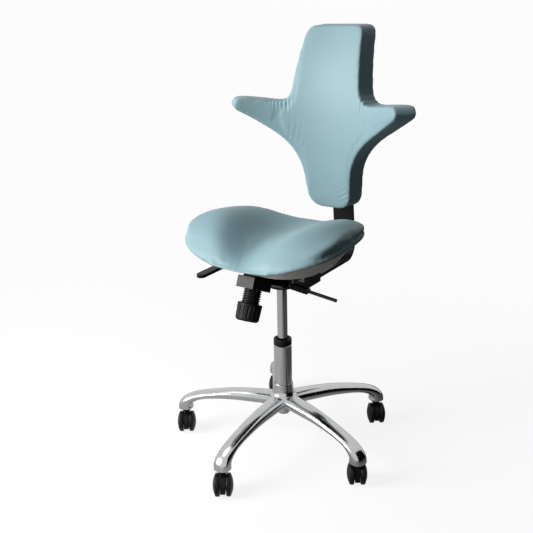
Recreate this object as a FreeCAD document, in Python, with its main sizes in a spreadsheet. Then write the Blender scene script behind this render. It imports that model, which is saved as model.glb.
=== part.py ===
import FreeCAD, Part
import math
import os
from types import SimpleNamespace

import Sketcher
from FreeCAD import Placement, Rotation, Vector

# Medical stool: five-armed base on casters, gas lift, dished seat and cross-shaped backrest.
# Millimetres and degrees. The floor is z = 0, the lift column is the Z axis, the sitter faces -Y.

doc = FreeCAD.newDocument("medical_stool")

SIZES = (
    ("running_fit", 0.05, "radial play of turning and sliding fits"),
    ("seat_gap", 0.3, "room left between soft and rigid pieces"),
    ("flat_gap", 0.5, "room between flat faces that pass each other"),
    # base
    ("stem_circle", 296.0, "radius of the circle of caster stems"),
    ("base_turn", 270.0, "direction of the first arm"),
    ("hub_bottom", 118.0, "underside of the hub's sleeve"),
    ("hub_skirt", 134.0, "underside of the hub's rim"),
    ("hub_shoulder", 147.0, "height where the hub starts to sweep up the tube"),
    ("hub_top", 186.0, "top edge of the sweep round the tube"),
    ("hub_radius", 41.0, "largest radius of the hub"),
    ("hub_wall", 4.5, "wall of the hub's sleeve"),
    ("hub_lip", 1.5, "wall of the hub at its top edge"),
    ("arm_start", 30.0, "distance from the axis where an arm leaves the hub"),
    ("arm_root_width", 57.0, "arm width at the hub"),
    ("arm_root_bottom", 114.0, "underside of the arm at the hub"),
    ("arm_root_top", 153.0, "ridge of the arm at the hub"),
    ("arm_tip_width", 38.0, "arm width at the caster"),
    ("arm_tip_bottom", 77.0, "underside of the arm at the caster"),
    ("arm_tip_top", 106.0, "ridge of the arm at the caster"),
    ("tip_bottom", 71.0, "underside of the arm's foot"),
    ("tip_radius", 19.5, "radius of the arm's foot"),
    ("tip_shoulder", 91.0, "height where the foot starts to round over"),
    ("tip_top", 108.5, "top of the rounded foot"),
    ("socket_depth", 18.0, "depth of the caster socket"),
    # column
    ("tube_diameter", 50.0, "column tube, outside"),
    ("tube_wall", 2.5, "column tube wall"),
    ("tube_bottom", 92.0, "lower end of the column tube"),
    ("tube_top", 304.0, "upper end of the column tube"),
    ("tube_floor", 30.0, "height of the tube's closed foot"),
    ("tube_foot_radius", 17.0, "radius of the tube's foot below the hub"),
    ("tube_bevel", 1.6, "bevel on the tube's ends"),
    ("collar_height", 17.0, "height of the guide collar"),
    ("collar_dish", 5.0, "depth of the dish in the collar's top"),
    ("guide_length", 92.0, "length of the guide bush in the tube"),
    ("washer_radius", 15.0, "thrust washer and bearing radius"),
    ("washer_height", 2.5, "thrust washer thickness"),
    ("bearing_height", 5.0, "thrust bearing thickness"),
    ("clip_radius", 9.0, "retaining clip radius"),
    ("clip_height", 2.0, "retaining clip thickness"),
    ("rod_diameter", 10.0, "piston rod"),
    ("rod_flange", 4.0, "thickness of the flange on the piston rod"),
    ("cylinder_diameter", 28.0, "gas cylinder, outside"),
    ("cylinder_wall", 2.5, "gas cylinder wall"),
    ("cylinder_bottom", 258.0, "lower end of the gas cylinder at full height"),
    ("cylinder_cap", 9.0, "end caps of the gas cylinder"),
    ("cylinder_top", 500.0, "upper end of the gas cylinder"),
    ("taper_length", 26.0, "length of the cylinder's taper in the housing"),
    ("taper_draw", 1.0, "radius lost over the taper"),
    ("piston_height", 8.0, "piston on the rod"),
    ("button_diameter", 8.0, "release button"),
    ("button_rise", 4.0, "release button above the cylinder"),
    # casters
    ("wheel_diameter", 60.0, "caster wheel"),
    ("wheel_width", 18.0, "width of one wheel"),
    ("wheel_dome", 6.0, "dome on the wheel's outer face"),
    ("wheel_rim", 3.0, "round of the tread"),
    ("hood_width", 13.0, "hood between the two wheels"),
    ("wheel_gap", 2.0, "room between hood and wheel"),
    ("hood_radius", 27.0, "radius of the hood round the axle"),
    ("caster_trail", 12.0, "distance from the stem to the axle"),
    ("axle_diameter", 8.0, "caster axle"),
    ("stem_diameter", 11.0, "caster stem"),
    ("stem_bottom", 50.0, "lower end of the stem in the hood"),
    ("neck_radius", 8.0, "hood neck round the stem"),
    ("cap_radius", 11.5, "collar on top of the hood neck"),
    ("cap_height", 6.0, "collar on top of the hood neck"),
    ("neck_top", 67.0, "top of the hood neck"),
    ("flange_radius", 10.0, "stem flange under the arm"),
    # mechanism
    ("boss_radius", 36.0, "round boss over the cylinder"),
    ("boss_bevel", 2.0, "bevel round the boss"),
    ("boss_bottom", 474.0, "underside of the boss"),
    ("housing_width", 124.0, "mechanism housing"),
    ("housing_bottom", 505.0, "underside of the housing"),
    ("housing_front", -98.0, "front end of the housing"),
    ("housing_rear", 52.0, "rear end of the housing"),
    ("housing_crown", 528.0, "top of the housing over the pivot"),
    ("housing_nip", 9.0, "cut corners of the housing's side view"),
    ("housing_tail", 515.0, "top of the housing at its rear"),
    ("pivot_back", -55.0, "tilt pivot along Y"),
    ("pivot_height", 515.5, "tilt pivot above the floor"),
    ("pin_diameter", 12.0, "tilt pivot pin"),
    ("nose_radius", 50.0, "six-sided nose, corner radius"),
    ("nose_height", 30.0, "length of the nose along its axis"),
    ("nose_back", -124.0, "middle of the nose's top along Y"),
    ("nose_top", 535.0, "middle of the nose's top above the floor"),
    ("nose_lean", 24.0, "lean of the nose, screw and knob"),
    ("screw_diameter", 47.0, "coarse screw over its crests"),
    ("screw_depth", 3.2, "depth of the screw's grooves"),
    ("screw_pitch", 6.0, "spacing of the screw's grooves"),
    ("screw_turns", 6.0, "grooves that show"),
    ("screw_reach", 14.0, "length of screw inside nose and knob"),
    ("knob_diameter", 64.0, "hand knob"),
    ("knob_height", 46.0, "hand knob"),
    ("knob_taper", 2.5, "radius lost towards the knob's foot"),
    ("flute_count", 18.0, "grip flutes round the knob"),
    ("flute_radius", 3.2, "grip flute"),
    # levers
    ("lever_height", 495.5, "height lever's pivot above the floor"),
    ("lever_back", -34.0, "height lever along Y"),
    ("lever_pivot", 42.0, "height lever's pivot along X"),
    ("lever_droop", 7.0, "droop of the height lever"),
    ("lever_bar_length", 64.0, "flat part of the height lever"),
    ("lever_bar_height", 15.0, "flat part of the height lever"),
    ("lever_bar_width", 14.0, "flat part of the height lever"),
    ("lever_rod_length", 80.0, "thin end of the height lever"),
    ("lever_rod_diameter", 9.0, "thin end of the height lever"),
    ("lever_pin_diameter", 6.0, "height lever's pin"),
    ("lug_thickness", 5.0, "lugs that hold the height lever"),
    ("paddle_height", 503.0, "tilt paddle's shaft above the floor"),
    ("paddle_back", 14.0, "tilt paddle's shaft along Y"),
    ("paddle_shaft", 10.0, "tilt paddle's shaft diameter"),
    ("paddle_out", 190.0, "middle of the paddle from the column"),
    ("paddle_reach", 132.0, "length of the paddle forwards"),
    ("paddle_width", 25.0, "paddle"),
    ("paddle_thickness", 9.0, "paddle"),
    # seat carrier and back bar
    ("plate_top", 547.0, "top of the seat plate"),
    ("plate_thickness", 6.0, "seat plate"),
    ("plate_half_width", 86.0, "seat plate"),
    ("plate_front", -84.0, "seat plate's front edge"),
    ("plate_rear", 150.0, "seat plate's rear edge"),
    ("cheek_thickness", 6.0, "cheeks round the pivot"),
    ("cheek_radius", 15.0, "round foot of a cheek"),
    ("cheek_half_length", 24.0, "cheek along Y at the plate"),
    ("carrier_half_width", 40.0, "bar carrier"),
    ("carrier_wall", 5.0, "bar carrier walls"),
    ("carrier_front", 60.0, "front of the bar carrier"),
    ("carrier_rear", 142.0, "rear of the bar carrier"),
    ("bar_width", 65.0, "back bar"),
    ("bar_thickness", 10.0, "back bar"),
    ("bar_bottom", 455.0, "underside of the back bar"),
    ("bar_front", 66.0, "front end of the back bar"),
    ("bar_bend_back", 322.0, "centre of the bar's bend along Y"),
    ("bar_bend_radius", 36.0, "inside radius of the bar's bend"),
    ("bar_lean", 6.0, "forward lean of the upright bar"),
    ("bar_upright", 318.0, "length of the upright bar"),
    ("clamp_back", 118.0, "clamp bolt along Y"),
    ("clamp_head_radius", 8.0, "clamp bolt head"),
    ("clamp_head_height", 9.0, "clamp bolt head"),
    ("clamp_shank_radius", 4.0, "clamp bolt shank"),
    ("screw_spread_x", 62.0, "pan screws from the middle along X"),
    ("screw_spread_y", 46.0, "pan screws from their middle along Y"),
    ("screw_middle", 30.0, "middle of the pan screws along Y"),
    ("screw_head_radius", 6.0, "pan screw head"),
    ("screw_head_height", 3.5, "pan screw head"),
    # seat
    ("pan_half_width", 138.0, "seat pan at its foot"),
    ("pan_front", -139.0, "seat pan's front at its foot"),
    ("pan_rear", 136.0, "seat pan's rear at its foot"),
    ("pan_corner", 96.0, "seat pan's corner radius at its foot"),
    ("pan_flare", 48.0, "how far the pan's wall flares outwards"),
    ("pan_height", 74.0, "height of the pan's wall at its sides"),
    ("pan_saddle", 28.0, "height of the pan's wall at front and rear"),
    ("pan_dish_radius", 450.0, "radius of the saddle in the pan's rim"),
    ("pan_wall", 4.0, "pan wall"),
    ("seat_half_width", 224.0, "seat cushion"),
    ("seat_taper", 22.0, "half width lost from the middle of the cushion to its rear"),
    ("seat_front", -206.0, "front of the seat cushion"),
    ("seat_rear", 188.0, "rear of the seat cushion"),
    ("cushion_rise", 73.0, "top of the cushion's middle above the seat plate"),
    ("flank_rise", 51.0, "ridge of the flanks above the cushion's middle"),
    ("front_fall", 34.0, "drop of the cushion towards its front"),
    ("rear_rise", 14.0, "rise of the cushion towards its rear"),
    ("lip_side_rise", 70.0, "lower edge of the cushion at its sides above the seat plate"),
    ("lip_front_rise", 16.0, "lower edge of the cushion at front and rear above the seat plate"),
    ("side_draw", 9.0, "how far the sides are drawn in above the lip"),
    ("ridge_half_spread", 157.0, "ridges of the flanks from the middle, half way along the seat"),
    ("ridge_fan", 45.0, "how much further apart the ridges are at the rear"),
    # backrest
    ("back_top", 1136.0, "top of the backrest"),
    ("back_bottom", 628.0, "bottom of the backrest"),
    ("lumbar_height", 905.0, "height where the backrest comes furthest forwards"),
    ("lumbar_back", 236.0, "front face there along Y"),
    ("top_setback", 62.0, "how far the top leans back"),
    ("bottom_setback", 32.0, "how far the bottom lies back"),
    ("wrap_radius", 372.0, "plan radius of the front face"),
    ("wrap_angle", 46.0, "half angle of the plan curve"),
    ("pad_thickness", 66.0, "backrest cushion"),
    ("pad_round", 19.0, "rolled edge of the backrest cushion"),
    ("wing_inset", 1.0, "how far the wings' faces lie inside the panel's"),
    ("shell_thickness", 5.0, "rear shell"),
    ("shell_inset", 32.0, "rear shell inside the cushion's outline"),
    ("shell_gap", 0.8, "room between the back cushion and its rear shell"),
    ("slab_margin", 20.0, "how far the cutting slab of the back reaches past its outline"),
    ("shell_half_span", 176.0, "half the width of the rear shell across its wings"),
    ("top_half_width", 92.0, "backrest at its top"),
    ("waist_half_width", 113.0, "backrest where the wings leave it"),
    ("wing_top", 927.0, "upper edge of the wings"),
    ("wing_tip_top", 944.0, "upper edge of the wings at their tips"),
    ("wing_tip_bottom", 904.0, "lower edge of the wings at their tips"),
    ("wing_half_span", 266.0, "half the span over the wings"),
    ("lower_half_width", 84.0, "backrest below the wings"),
    ("lower_height", 812.0, "height where the wings' lower edge meets the stalk"),
    ("bottom_half_width", 69.0, "backrest at its bottom"),
    ("top_corner", 27.0, "corner radius at the top of the backrest"),
    ("waist_corner", 16.0, "inside corner between panel and wing"),
    ("wing_tip_round", 17.5, "round of the wing tips"),
    ("lower_sweep", 80.0, "sweep from the wings to the stalk"),
    ("bottom_corner", 42.0, "corner radius at the bottom of the backrest"),
    ("bracket_half_width", 42.0, "bracket between bar and shell"),
    ("bracket_bottom", 704.0, "lower edge of the bracket"),
    ("bracket_top", 796.0, "upper edge of the bracket"),
    ("bolt_head_radius", 8.0, "bolt heads behind the bar"),
    ("bolt_head_height", 5.0, "bolt heads behind the bar"),
    ("bolt_shank_radius", 4.0, "bolts through the bar"),
    ("bolt_spread", 22.0, "bolts from the bracket's middle"),
)

# Direction in which each caster trails, in arm order
CASTER_HEADINGS = (("front", 303.0), ("left_front", 122.0), ("left_rear", 306.0),
                   ("right_rear", 300.0), ("right_front", 303.0))
ARM_COUNT = len(CASTER_HEADINGS)


class Size:
    """A dimension that keeps its number together with the sheet formula behind it."""

    def __init__(self, value, text):
        self.value = value
        self.text = text

    def __add__(self, other):
        other = as_size(other)
        return Size(self.value + other.value, "(%s + %s)" % (self.text, other.text))

    def __sub__(self, other):
        other = as_size(other)
        return Size(self.value - other.value, "(%s - %s)" % (self.text, other.text))

    def __mul__(self, other):
        other = as_size(other)
        return Size(self.value * other.value, "(%s * %s)" % (self.text, other.text))

    def __truediv__(self, other):
        other = as_size(other)
        return Size(self.value / other.value, "(%s / %s)" % (self.text, other.text))

    def __neg__(self):
        return Size(-self.value, "(0 - %s)" % self.text)

    def __radd__(self, other):
        return as_size(other) + self

    def __rsub__(self, other):
        return as_size(other) - self

    __rmul__ = __mul__


def as_size(item):
    return item if isinstance(item, Size) else Size(float(item), "%.6f" % item)


def cosine(angle):
    return Size(math.cos(math.radians(angle.value)), "cos(%s * 1 deg)" % angle.text)


def sine(angle):
    return Size(math.sin(math.radians(angle.value)), "sin(%s * 1 deg)" % angle.text)


def fill_sheet():
    """Write the driving dimensions to the sheet and hand them back by name."""
    sheet = doc.addObject("Spreadsheet::Sheet", "sizes")
    named = SimpleNamespace()
    for row, (alias, number, meaning) in enumerate(SIZES, 1):
        sheet.set("A%d" % row, meaning)
        sheet.set("B%d" % row, "%g" % number)
        sheet.setAlias("B%d" % row, alias)
        setattr(named, alias, Size(number, "sizes." + alias))
    doc.recompute()
    return named


S = fill_sheet()
tube_radius = S.tube_diameter / 2
tube_bore = tube_radius - S.tube_wall
floor_top = S.tube_bottom + S.tube_floor
collar_top = S.tube_top + S.collar_height
rod_radius = S.rod_diameter / 2
cylinder_radius = S.cylinder_diameter / 2
wheel_radius = S.wheel_diameter / 2
axle_radius = S.axle_diameter / 2
stem_radius = S.stem_diameter / 2
plate_bottom = S.plate_top - S.plate_thickness
bar_top = S.bar_bottom + S.bar_thickness
nodes = []


def keep(item, label):
    """Name a finished piece and put it on the list of pieces to write out."""
    item.Label = label
    nodes.append(item)
    return item


def bind(item, **sizes):
    for name, size in sizes.items():
        size = as_size(size)
        setattr(item, name, size.value)
        item.setExpression(name, size.text)
    return item


def place(item, x=0, y=0, z=0, turn=0, about=Vector(0, 0, 1)):
    """Put a piece in its place, tied to the sheet."""
    base = [as_size(part) for part in (x, y, z)]
    turn = as_size(turn)
    item.Placement = Placement(Vector(*[part.value for part in base]), Rotation(about, turn.value))
    for axis, part in zip("xyz", base):
        item.setExpression("Placement.Base." + axis, part.text)
    if turn.value:
        item.setExpression("Placement.Rotation.Angle", turn.text)
    return item


def new_body(label):
    return doc.addObject("PartDesign::Body", label)


def sketch_on(body, role, lift=None, shift=None):
    """Start a sketch on one of the body's own planes, lifted along its normal or shifted along its x."""
    sketch = body.newObject("Sketcher::SketchObject", body.Name + "_sketch")
    plane = next(item for item in body.Origin.OriginFeatures if item.Role == role)
    sketch.AttachmentSupport = [(plane, "")]
    sketch.MapMode = "FlatFace"
    lift = as_size(lift or 0)
    shift = as_size(shift or 0)
    sketch.AttachmentOffset = Placement(Vector(shift.value, 0, lift.value), Rotation())
    sketch.setExpression("AttachmentOffset.Base.x", shift.text)
    sketch.setExpression("AttachmentOffset.Base.z", lift.text)
    return sketch


def pin_point(sketch, geometry, end, u, v):
    """Tie a point of the sketch to its two distances from the origin."""
    for kind, size, axis in (("DistanceX", u, -2), ("DistanceY", v, -1)):
        if size.value == 0:
            sketch.addConstraint(Sketcher.Constraint("PointOnObject", geometry, end, axis))
            continue
        number = sketch.addConstraint(Sketcher.Constraint(kind, -1, 1, geometry, end, size.value))
        sketch.setExpression("Constraints[%d]" % number, size.text)


def outline(sketch, points):
    """Closed outline. (u, v) is a straight run to that point, (mu, mv, u, v) an arc through (mu, mv)."""
    rows = [[as_size(part) for part in point] for point in points]
    ends = [Vector(row[-2].value, row[-1].value, 0) for row in rows]
    starts = ends[-1:] + ends[:-1]
    tips = []
    for row, start, end in zip(rows, starts, ends):
        if len(row) == 2:
            edge = sketch.addGeometry(Part.LineSegment(start, end))
            tips.append((edge, 1, 2))
        else:
            middle = Vector(row[0].value, row[1].value, 0)
            edge = sketch.addGeometry(Part.Arc(start, middle, end))
            forward = sketch.getPoint(edge, 1).distanceToPoint(start) < 1e-6
            tips.append((edge, 1, 2) if forward else (edge, 2, 1))
            dot = sketch.addGeometry(Part.Point(middle), True)
            pin_point(sketch, dot, 1, row[0], row[1])
            sketch.addConstraint(Sketcher.Constraint("PointOnObject", dot, 1, edge))
    for this, following, row in zip(tips, tips[1:] + tips[:1], rows):
        sketch.addConstraint(Sketcher.Constraint("Coincident", this[0], this[2], following[0], following[1]))
        pin_point(sketch, this[0], this[2], row[-2], row[-1])
    return sketch


def circle(sketch, u, v, radius):
    u, v, radius = as_size(u), as_size(v), as_size(radius)
    round_edge = sketch.addGeometry(Part.Circle(Vector(u.value, v.value, 0), Vector(0, 0, 1), radius.value))
    pin_point(sketch, round_edge, 3, u, v)
    number = sketch.addConstraint(Sketcher.Constraint("Radius", round_edge, radius.value))
    sketch.setExpression("Constraints[%d]" % number, radius.text)
    return sketch


def feature(body, kind, sketch, **sizes):
    """Add a sketch-based feature to a body."""
    item = body.newObject("PartDesign::" + kind, "%s_%s" % (body.Name, kind.lower()))
    item.Profile = sketch
    return bind(item, **sizes)


def pad(body, sketch, length, symmetric=False, kind="Pad"):
    item = feature(body, kind, sketch, Length=length)
    item.SideType = "Symmetric" if symmetric else "One side"
    return item


def cut(body, sketch, length, symmetric=False, reverse=False):
    """Pocket that has to take something away."""
    doc.recompute()
    before = body.Shape.Volume
    item = pad(body, sketch, length, symmetric, "Pocket")
    item.Reversed = reverse
    doc.recompute()
    if body.Shape.Volume > before - 1e-3:
        raise RuntimeError("a pocket of %s cuts nothing" % body.Name)
    return item


def turn(body, sketch, axis="V_Axis", kind="Revolution"):
    item = feature(body, kind, sketch, Angle=360)
    item.ReferenceAxis = (sketch, [axis])
    return item


def turned(label, points, axis="V_Axis"):
    """A piece turned about Z (V_Axis) or X (H_Axis) from an outline in the XZ plane."""
    body = new_body(label)
    turn(body, outline(sketch_on(body, "XZ_Plane"), points), axis)
    return keep(body, label)


def repeat(body, originals, count):
    """Copies of features all round the body's Z axis."""
    item = body.newObject("PartDesign::PolarPattern", body.Name + "_pattern")
    item.Originals = originals
    axis = next(part for part in body.Origin.OriginFeatures if part.Role == "Z_Axis")
    item.Axis = (axis, [""])
    item.Angle = 360
    item.Occurrences = int(count)
    body.Tip = item
    return item


def primitive(kind, label, **sizes):
    return bind(doc.addObject("Part::" + kind, label), **sizes)


def box(label, x0, x1, y0, y1, z0, z1):
    x0, x1, y0, y1, z0, z1 = [as_size(part) for part in (x0, x1, y0, y1, z0, z1)]
    item = primitive("Box", label, Length=x1 - x0, Width=y1 - y0, Height=z1 - z0)
    return place(item, x0, y0, z0)


def round_bar(label, axis, radius, length, x=0, y=0, z=0):
    """Cylinder that starts at a point and runs along X, Y or Z."""
    about, angle = {"x": (Vector(0, 1, 0), 90), "y": (Vector(1, 0, 0), -90), "z": (Vector(0, 0, 1), 0)}[axis]
    item = primitive("Cylinder", label, Radius=radius, Height=length)
    return place(item, x, y, z, turn=angle, about=about)


def join(kind, label, first, others):
    """Fuse or cut: first with the others, or first less the others."""
    if len(others) > 1:
        tool = doc.addObject("Part::MultiFuse", label + "_tools")
        tool.Shapes = others
    else:
        tool = others[0]
    item = doc.addObject("Part::" + kind, label)
    item.Base = first
    item.Tool = tool
    return item


def formed(label, shape):
    item = doc.addObject("Part::Feature", label)
    item.Shape = shape
    return item


# Base

def ease(root, tip, share, power):
    """Size that leaves its root value slowly and reaches its tip value at share 1."""
    return root - (root - tip) * share ** power


def arm_section(body, share):
    """Cross-section of an arm: narrow foot, sides that lean out and a crowned top."""
    distance = S.arm_start + (S.stem_circle - S.arm_start) * share
    half = (S.arm_tip_width + (S.arm_root_width - S.arm_tip_width) * (1 - share) ** 1.6) / 2
    bottom = ease(S.arm_root_bottom, S.arm_tip_bottom, share, 5)
    top = ease(S.arm_root_top, S.arm_tip_top, share, 2.4)
    shoulder = bottom + (top - bottom) * 0.62
    sole = half * (0.5 + 0.3 * share)
    return outline(sketch_on(body, "YZ_Plane", distance), [
        (-sole, bottom), (sole, bottom), (half, shoulder), (0, top, -half, shoulder)])


def make_star_base():
    body = new_body("star_base")
    sleeve = tube_radius + S.hub_wall
    sweep_height = S.hub_shoulder + (S.hub_top - S.hub_shoulder) * 0.3
    sweep_radius = tube_radius + S.hub_lip + (S.hub_radius - tube_radius) * 0.22
    hub = outline(sketch_on(body, "XZ_Plane"), [
        (tube_radius, S.hub_bottom), (sleeve, S.hub_bottom), (sleeve, S.hub_skirt), (S.hub_radius, S.hub_skirt),
        (S.hub_radius, S.hub_shoulder), (sweep_radius, sweep_height, tube_radius + S.hub_lip, S.hub_top),
        (tube_radius, S.hub_top)])
    turn(body, hub)
    sections = [arm_section(body, share) for share in (0, 0.3, 0.62, 0.85, 1)]
    arm = feature(body, "AdditiveLoft", sections[0])
    arm.Sections = sections[1:]
    boss = turn(body, outline(sketch_on(body, "XZ_Plane", shift=S.stem_circle), [
        (0, S.tip_bottom), (S.tip_radius, S.tip_bottom), (S.tip_radius, S.tip_shoulder),
        (S.tip_radius * 0.76, S.tip_top - (S.tip_top - S.tip_shoulder) * 0.32, 0, S.tip_top)]))
    socket = feature(body, "Pocket", circle(sketch_on(body, "XY_Plane", S.tip_bottom),
                                            S.stem_circle, 0, stem_radius), Length=S.socket_depth)
    socket.Reversed = True
    repeat(body, [arm, boss, socket], ARM_COUNT)
    place(body, turn=S.base_turn)
    return keep(body, "star_base")


def make_column():
    bevel = S.tube_bevel
    foot = S.tube_foot_radius
    turned("column_tube", [
        (rod_radius + 1, S.tube_bottom), (foot - bevel, S.tube_bottom), (foot, S.tube_bottom + bevel),
        (foot, S.hub_bottom), (tube_radius, S.hub_bottom), (tube_radius, S.tube_top - bevel),
        (tube_radius - bevel, S.tube_top), (tube_bore, S.tube_top), (tube_bore, floor_top),
        (rod_radius + 1, floor_top)])
    guide = cylinder_radius + S.running_fit
    turned("guide_collar", [
        (guide, S.tube_top - S.guide_length), (tube_bore, S.tube_top - S.guide_length),
        (tube_bore, S.tube_top), (tube_radius, S.tube_top), (tube_radius, collar_top - bevel),
        (tube_radius - bevel, collar_top), (tube_radius - bevel * 2, collar_top),
        (guide, collar_top - S.collar_dish)])
    washer_top = floor_top + S.washer_height
    bearing_top = washer_top + S.bearing_height
    play = rod_radius + 1
    turned("thrust_washer", [(play, floor_top), (S.washer_radius, floor_top),
                             (S.washer_radius, washer_top), (play, washer_top)])
    turned("thrust_bearing", [(play, washer_top), (S.washer_radius, washer_top),
                              (S.washer_radius, bearing_top), (play, bearing_top)])
    return bearing_top


def make_lift(bearing_top):
    clip_top = S.tube_bottom - S.running_fit
    clip_bottom = clip_top - S.clip_height
    flange_top = bearing_top + S.running_fit + S.rod_flange
    piston_bottom = S.cylinder_bottom + S.cylinder_cap + 1
    bore = cylinder_radius - S.cylinder_wall
    piston = bore - S.running_fit
    turned("piston_rod", [
        (0, clip_bottom - 3), (rod_radius, clip_bottom - 3), (rod_radius, bearing_top + S.running_fit),
        (S.washer_radius, bearing_top + S.running_fit), (S.washer_radius, flange_top), (rod_radius, flange_top),
        (rod_radius, piston_bottom), (piston, piston_bottom), (piston, piston_bottom + S.piston_height),
        (0, piston_bottom + S.piston_height)])
    turned("retaining_clip", [(rod_radius, clip_bottom), (S.clip_radius, clip_bottom),
                              (S.clip_radius, clip_top), (rod_radius, clip_top)])
    button = S.button_diameter / 2
    gland = rod_radius + S.running_fit
    top_radius = cylinder_radius - S.taper_draw
    turned("gas_cylinder", [
        (gland, S.cylinder_bottom), (cylinder_radius - 1, S.cylinder_bottom),
        (cylinder_radius, S.cylinder_bottom + 1), (cylinder_radius, S.cylinder_top - S.taper_length),
        (top_radius, S.cylinder_top), (button, S.cylinder_top), (button, S.cylinder_top - S.cylinder_cap),
        (bore, S.cylinder_top - S.cylinder_cap), (bore, S.cylinder_bottom + S.cylinder_cap),
        (gland, S.cylinder_bottom + S.cylinder_cap)])
    turned("release_button", [(0, S.cylinder_top - S.cylinder_cap), (button, S.cylinder_top - S.cylinder_cap),
                              (button, S.cylinder_top + S.button_rise), (0, S.cylinder_top + S.button_rise)])


# Casters

def make_caster(number, name, heading):
    """Stem in the arm, hood that swivels on it, axle and two wheels; the hood trails along +Y of its own."""
    arm = S.base_turn + number * 360 / ARM_COUNT
    at = dict(x=S.stem_circle * cosine(arm), y=S.stem_circle * sine(arm))
    spin = Size(heading, "%.3f" % heading) - 90
    stem = turned("caster_stem_" + name, [
        (0, S.stem_bottom), (stem_radius, S.stem_bottom), (stem_radius, S.neck_top + S.running_fit),
        (S.flange_radius, S.neck_top + S.running_fit), (S.flange_radius, S.tip_bottom),
        (stem_radius, S.tip_bottom), (stem_radius, S.tip_bottom + S.socket_depth),
        (0, S.tip_bottom + S.socket_depth)])
    place(stem, **at)

    hood = new_body("caster_hood_" + name)
    trail = S.caster_trail
    web = S.hood_radius
    pad(hood, outline(sketch_on(hood, "YZ_Plane"), [
        (trail - web * 0.8, wheel_radius - web * 0.6),
        (trail + web * 0.8, wheel_radius - web * 0.6),
        (trail + web, wheel_radius, trail + web * 0.8, wheel_radius + web * 0.6),
        (trail + web * 0.38, wheel_radius + web * 0.93, trail - web * 0.1, S.neck_top - 9),
        (trail - web * 0.8, S.neck_top - 9)]), S.hood_width, symmetric=True)
    neck_bottom = S.stem_bottom - 4
    pad(hood, circle(sketch_on(hood, "XY_Plane", neck_bottom), 0, 0, S.neck_radius), S.neck_top - neck_bottom)
    pad(hood, circle(sketch_on(hood, "XY_Plane", S.neck_top - S.cap_height), 0, 0, S.cap_radius), S.cap_height)
    cut(hood, circle(sketch_on(hood, "XY_Plane", S.stem_bottom - S.running_fit), 0, 0,
                     stem_radius + S.running_fit), S.neck_top, reverse=True)
    cut(hood, circle(sketch_on(hood, "YZ_Plane"), trail, wheel_radius, axle_radius), S.hood_width * 2,
        symmetric=True)
    keep(place(hood, turn=spin, **at), "caster_hood_" + name)

    inner = S.hood_width / 2 + S.wheel_gap
    outer = inner + S.wheel_width
    axle = new_body("caster_axle_" + name)
    pad(axle, circle(sketch_on(axle, "YZ_Plane"), trail, wheel_radius, axle_radius),
        (outer - S.wheel_dome) * 2, symmetric=True)
    keep(place(axle, turn=spin, **at), "caster_axle_" + name)

    bore = axle_radius + S.running_fit
    rim = S.wheel_rim
    dome_start = outer - S.wheel_dome
    direction = spin + 90
    for side, sign in (("a", 1), ("b", -1)):
        profile = [
            (sign * inner, bore), (sign * inner, wheel_radius - rim),
            (sign * (inner + rim * 0.3), wheel_radius - rim * 0.3, sign * (inner + rim), wheel_radius),
            (sign * (dome_start - rim), wheel_radius),
            (sign * (dome_start - rim * 0.3), wheel_radius - rim * 0.3, sign * dome_start, wheel_radius - rim),
            (sign * (outer - S.wheel_dome * 0.25), wheel_radius * 0.5, sign * outer, bore)]
        wheel = turned("caster_wheel_%s_%s" % (name, side), profile, "H_Axis")
        place(wheel, x=at["x"] + trail * cosine(direction), y=at["y"] + trail * sine(direction),
              z=wheel_radius, turn=spin)


# Mechanism

def lean_point(along):
    """Point on the leaning axis of nose, screw and knob, that far below the nose's top."""
    return dict(x=0, y=S.nose_back - sine(S.nose_lean) * along, z=S.nose_top - cosine(S.nose_lean) * along)


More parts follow.
